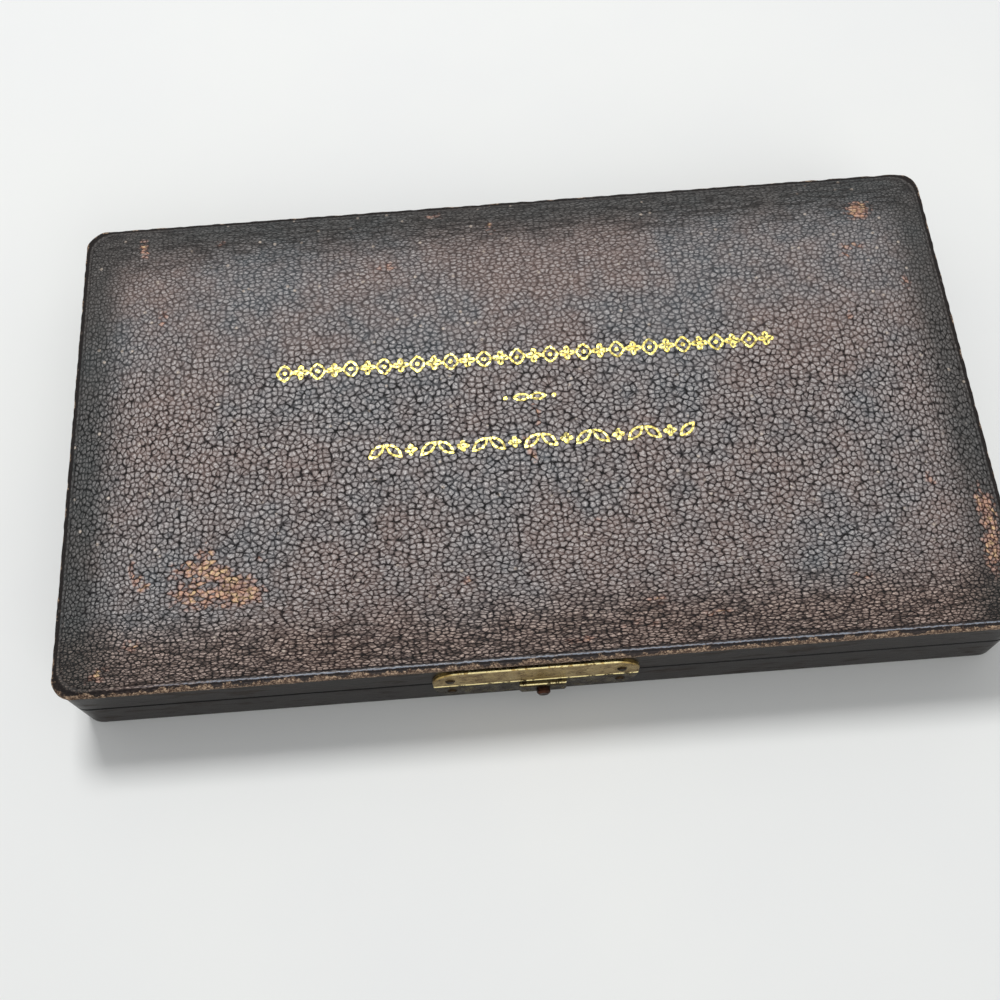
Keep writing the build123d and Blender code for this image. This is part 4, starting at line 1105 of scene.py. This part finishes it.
def satin_pad(material):
    """Padded satin panel in the lid as one closed shell: a crowned face that looks down, gathered into
    fine puckers along its edge, and a flat back against the card. The puckers are sums of sine waves over
    a circle as long as the edge, so that they run round the corners without a break."""
    low, high = node_box("lid_pad")
    half_x, half_y = high[0], high[1]
    face = half_y * (1 - np.linspace(0, 1, 52) ** 0.62)[:-1]
    face = np.concatenate([face, [0.25, 0.1, 0.0]])
    back = np.concatenate([[0.3, 1.5, 6.0], np.linspace(14.0, half_y, 5)])
    inset = np.concatenate([face, back])
    swell = np.sqrt(1 - (1 - np.minimum(face / pad_swell, 1)) ** 2) ** 0.8
    thickness = high[2] - low[2] - pucker_depth
    level = np.concatenate([high[2] - pad_tuck - (thickness - pad_tuck) * swell, np.full(len(back), high[2])])
    radius = np.minimum(0.6 + 0.35 * inset, half_y - inset)
    x, y = rings(half_x - inset, half_y - inset, radius, 260, 140, 6)
    is_face = (np.arange(len(inset)) < len(face))[:, None]
    d = inset[:, None]
    edge_x, edge_y = x[len(face) - 1], y[len(face) - 1]
    run = np.cumsum(np.hypot(np.diff(edge_x, prepend=edge_x[-1]), np.diff(edge_y, prepend=edge_y[-1])))
    circle = run[-1] / tau
    round_x, round_y = circle * np.cos(run / circle) + 0 * x, circle * np.sin(run / circle) + 0 * x
    gathers = 0.5 + 0.5 * waves(round_x, round_y, 1.8, 4.0, 7, 17)
    pucker = gathers * np.exp(-d / pucker_reach) * (1 - np.exp(-d / 0.8))
    pucker = pucker * np.clip(2 - 2 * d / pucker_end, 0, 1)
    ease = waves(x, y, 16, 40, 7, 18) * np.clip(d / 12, 0, 1)
    z = level[:, None] + np.where(is_face, pucker_depth * (0.9 * pucker + 0.12 * (ease + 1)), 0)
    z = np.clip(z, low[2], high[2])
    folds_at = np.stack([round_x, round_y, 0.04 * d + 0 * z], -1)
    given = {"inset": (d + 0 * z).ravel(), "along": folds_at.reshape(-1, 3)}
    piece = finish_piece("lid_satin_pad", np.stack([x, y, z], -1), grid_faces(*x.shape), material, "lid",
                         weld=True, attributes=given)
    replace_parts(piece, "lid_pad")


def bulb_line(start, length, radius, end_radius, steps=14):
    """Half outline of a bulb: a straight middle between two shoulders that follow half a cosine wave."""
    share = np.linspace(0, 1, steps)
    near_x = start + bulb_shoulder * share
    near_r = end_radius + (radius - end_radius) * (1 - np.cos(pi * share)) / 2
    return np.concatenate([near_x, (2 * start + length - near_x)[::-1]]), np.concatenate([near_r, near_r[::-1]])


def glass_pipette(colour, material):
    """Hollow glass pipette turned about its axis: the outside from the tapered tip to the rounded end for
    its tube, then the bore and the inside of the bulb back to the tip."""
    low, high = node_box(f"{colour}_cell_pipette")
    length = high[0] - low[0]
    radius = (high[2] - low[2]) / 2
    bore, bulb = bore_radii[colour], bulb_lengths[colour]
    outer_bulb = bulb_line(bulb_start, bulb, radius, stem_radius)
    inner_bulb = bulb_line(bulb_start + bulb_wall, bulb - 2 * bulb_wall, radius - bulb_wall, bore)
    tip = np.linspace(0, 1, 9)
    tip_x, tip_r = tip_taper * tip, tip_radius + (stem_radius - tip_radius) * np.sin(tip * pi / 2) ** 0.9
    olive = np.linspace(0, 1, 10)
    olive_x = length - olive_length + olive_length * olive
    olive_r = stem_radius - (stem_radius - olive_end_radius) * olive ** 2
    outer_x = np.concatenate([[0.0], tip_x + 0.0, outer_bulb[0], olive_x, [length]])
    outer_r = np.concatenate([[tip_radius * 0.75], tip_r, outer_bulb[1], olive_r, [olive_end_radius * 0.75]])
    outer_x[1], outer_x[-2] = 0.25, length - 0.35
    inner_x = np.concatenate([[0.0], inner_bulb[0], [length]])
    inner_r = np.concatenate([[bore], inner_bulb[1], [bore]])
    line_x = np.concatenate([outer_x, inner_x[::-1]])
    line_r = np.concatenate([outer_r, inner_r[::-1]])
    turn = np.linspace(0, tau, glass_turn, endpoint=False)
    axis_y, axis_z = (low[1] + high[1]) / 2, (low[2] + high[2]) / 2
    x = low[0] + line_x[:, None] + 0 * turn
    y = axis_y + line_r[:, None] * np.cos(turn)
    z = axis_z + line_r[:, None] * np.sin(turn)
    piece = finish_piece(f"{colour}_pipette_glass", np.stack([x, y, z], -1),
                         grid_faces(*x.shape, closed=True), material, "case_base")
    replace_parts(piece, f"{colour}_cell_pipette")


def dress(material, *nodes):
    """Give a solid's material slots one finish."""
    for name in nodes:
        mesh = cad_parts[name].data
        mesh.materials.clear()
        mesh.materials.append(material)


def studio():
    """Pale floor, a soft world, and two large soft lamps: one high behind, one low in front."""
    bpy.ops.mesh.primitive_plane_add(size=floor_width)
    floor = bpy.context.object
    floor.name = "tabletop"
    floor.data.materials.append(floor_finish())
    world = bpy.data.worlds.new("soft_room")
    bpy.context.scene.world = world
    world.use_nodes = True
    tree = world.node_tree
    tree.nodes.clear()
    path = put(tree, "LightPath").outputs
    seen = calc(tree, "MAXIMUM", path["Is Camera Ray"],
                calc(tree, "MAXIMUM", path["Is Glossy Ray"], path["Is Transmission Ray"]))
    strength = span(tree, seen, world_light, world_seen)
    background = put(tree, "Background", {"Color": (0.98, 0.99, 1.0, 1.0), "Strength": strength})
    output = put(tree, "OutputWorld", {0: background.outputs[0]})
    output.is_active_output = True
    for name, place, width, height, power in lamps:
        light = bpy.data.lights.new(name, "AREA")
        light.shape = "RECTANGLE"
        light.size, light.size_y, light.energy = width, height, power
        lamp = bpy.data.objects.new(name, light)
        bpy.context.scene.collection.objects.link(lamp)
        lamp.location = place
        back = lamp.location.normalized()
        lamp.rotation_euler = back.to_track_quat("Z", "Y").to_euler()


def camera():
    """Camera at the photograph's place: tilted down, turned to its azimuth and rolled about its own axis."""
    data = bpy.data.cameras.new("camera")
    data.lens, data.sensor_width = camera_lens, camera_sensor
    data.clip_start, data.clip_end = 0.01, 20
    held = bpy.data.objects.new("camera", data)
    bpy.context.scene.collection.objects.link(held)
    place = Matrix.Translation([value * MM for value in camera_place])
    held.matrix_world = (place @ Matrix.Rotation(-radians(camera_azimuth), 4, "Z")
                         @ Matrix.Rotation(radians(90 - camera_elevation), 4, "X")
                         @ Matrix.Rotation(radians(camera_roll), 4, "Z"))
    bpy.context.scene.camera = held


camera()
studio()

top_leather(top_leather_finish())
gold_tooling(gold_finish())
violet_velvet = velvet_finish()
velvet_rests(violet_velvet)
floor_velvet(violet_velvet)
satin_pad(satin_finish())
clear_glass = pipette_glass_finish()
for bead_colour in bulb_lengths:
    glass_pipette(bead_colour, clear_glass)

sides = ("front", "back", "left", "right")
dress(side_leather_finish(), "base_side_leather", "lid_side_leather")
dress(foot_leather_finish(), "base_bottom_leather")
dress(wood_finish(), "base_floor_board", "lid_board", *[f"{half}_{side}_rail" for half in ("base", "lid")
                                                       for side in sides])
dress(wadding_finish(), "lid_wadding")
dress(card_finish(), "lid_pad_card")
dress(lining_finish(), "base_wall_lining", "lid_wall_lining")
dress(chamber_glass_finish(), "counting_chamber")
dress(cover_glass_finish(), "chamber_cover_glass", "spare_cover_glass")
dress(bead_finish("red_bead_glass", srgb(168, 30, 28), srgb(132, 16, 20)), "red_cell_bead")
dress(bead_finish("white_bead_glass", srgb(238, 236, 228), srgb(214, 212, 204)), "white_cell_bead")
dress(catch_plate_finish("speckled_lid_plate_brass", "catch_lid_plate", srgb(190, 162, 98), srgb(128, 104, 62),
                         0.52, 0.5), "catch_lid_plate")
# Painted reflection: the base plate and the button guard get a dark brass that stands for the dark shadow by
# the case that they reflect; their real brass is like the lid plate's.
for plate in ("catch_base_plate", "catch_button_guard"):
    dress(catch_plate_finish(f"dark_{plate}_brass", plate, srgb(66, 54, 35), srgb(40, 33, 24), 0.6, 0.22),
          plate)
dress(brass_finish("dark_pin_brass", srgb(82, 64, 40), srgb(46, 36, 24), srgb(22, 18, 14), 0.7),
      "catch_lid_pins", "catch_base_pins")
dress(brass_finish("red_brown_button_brass", srgb(84, 52, 38), srgb(50, 33, 26), srgb(24, 18, 15), 0.6),
      "catch_button")
dress(brass_finish("spring_brass", srgb(212, 178, 96), srgb(176, 142, 74), srgb(96, 72, 40), 0.35),
      "catch_spring", "catch_tongue", "catch_housing")
dress(brass_finish("hinge_brass", srgb(202, 174, 108), srgb(160, 132, 80), srgb(70, 54, 34), 0.42),
      *[f"hinge_{side}_{part}" for side in ("left", "right") for part in ("lower_leaf", "upper_leaf", "pin")])
dress(brass_finish("screw_brass", srgb(220, 190, 116), srgb(160, 130, 72), srgb(70, 52, 30), 0.4),
      "hinge_lower_screws", "hinge_upper_screws")

bpy.context.scene.view_settings.view_transform = "Standard"
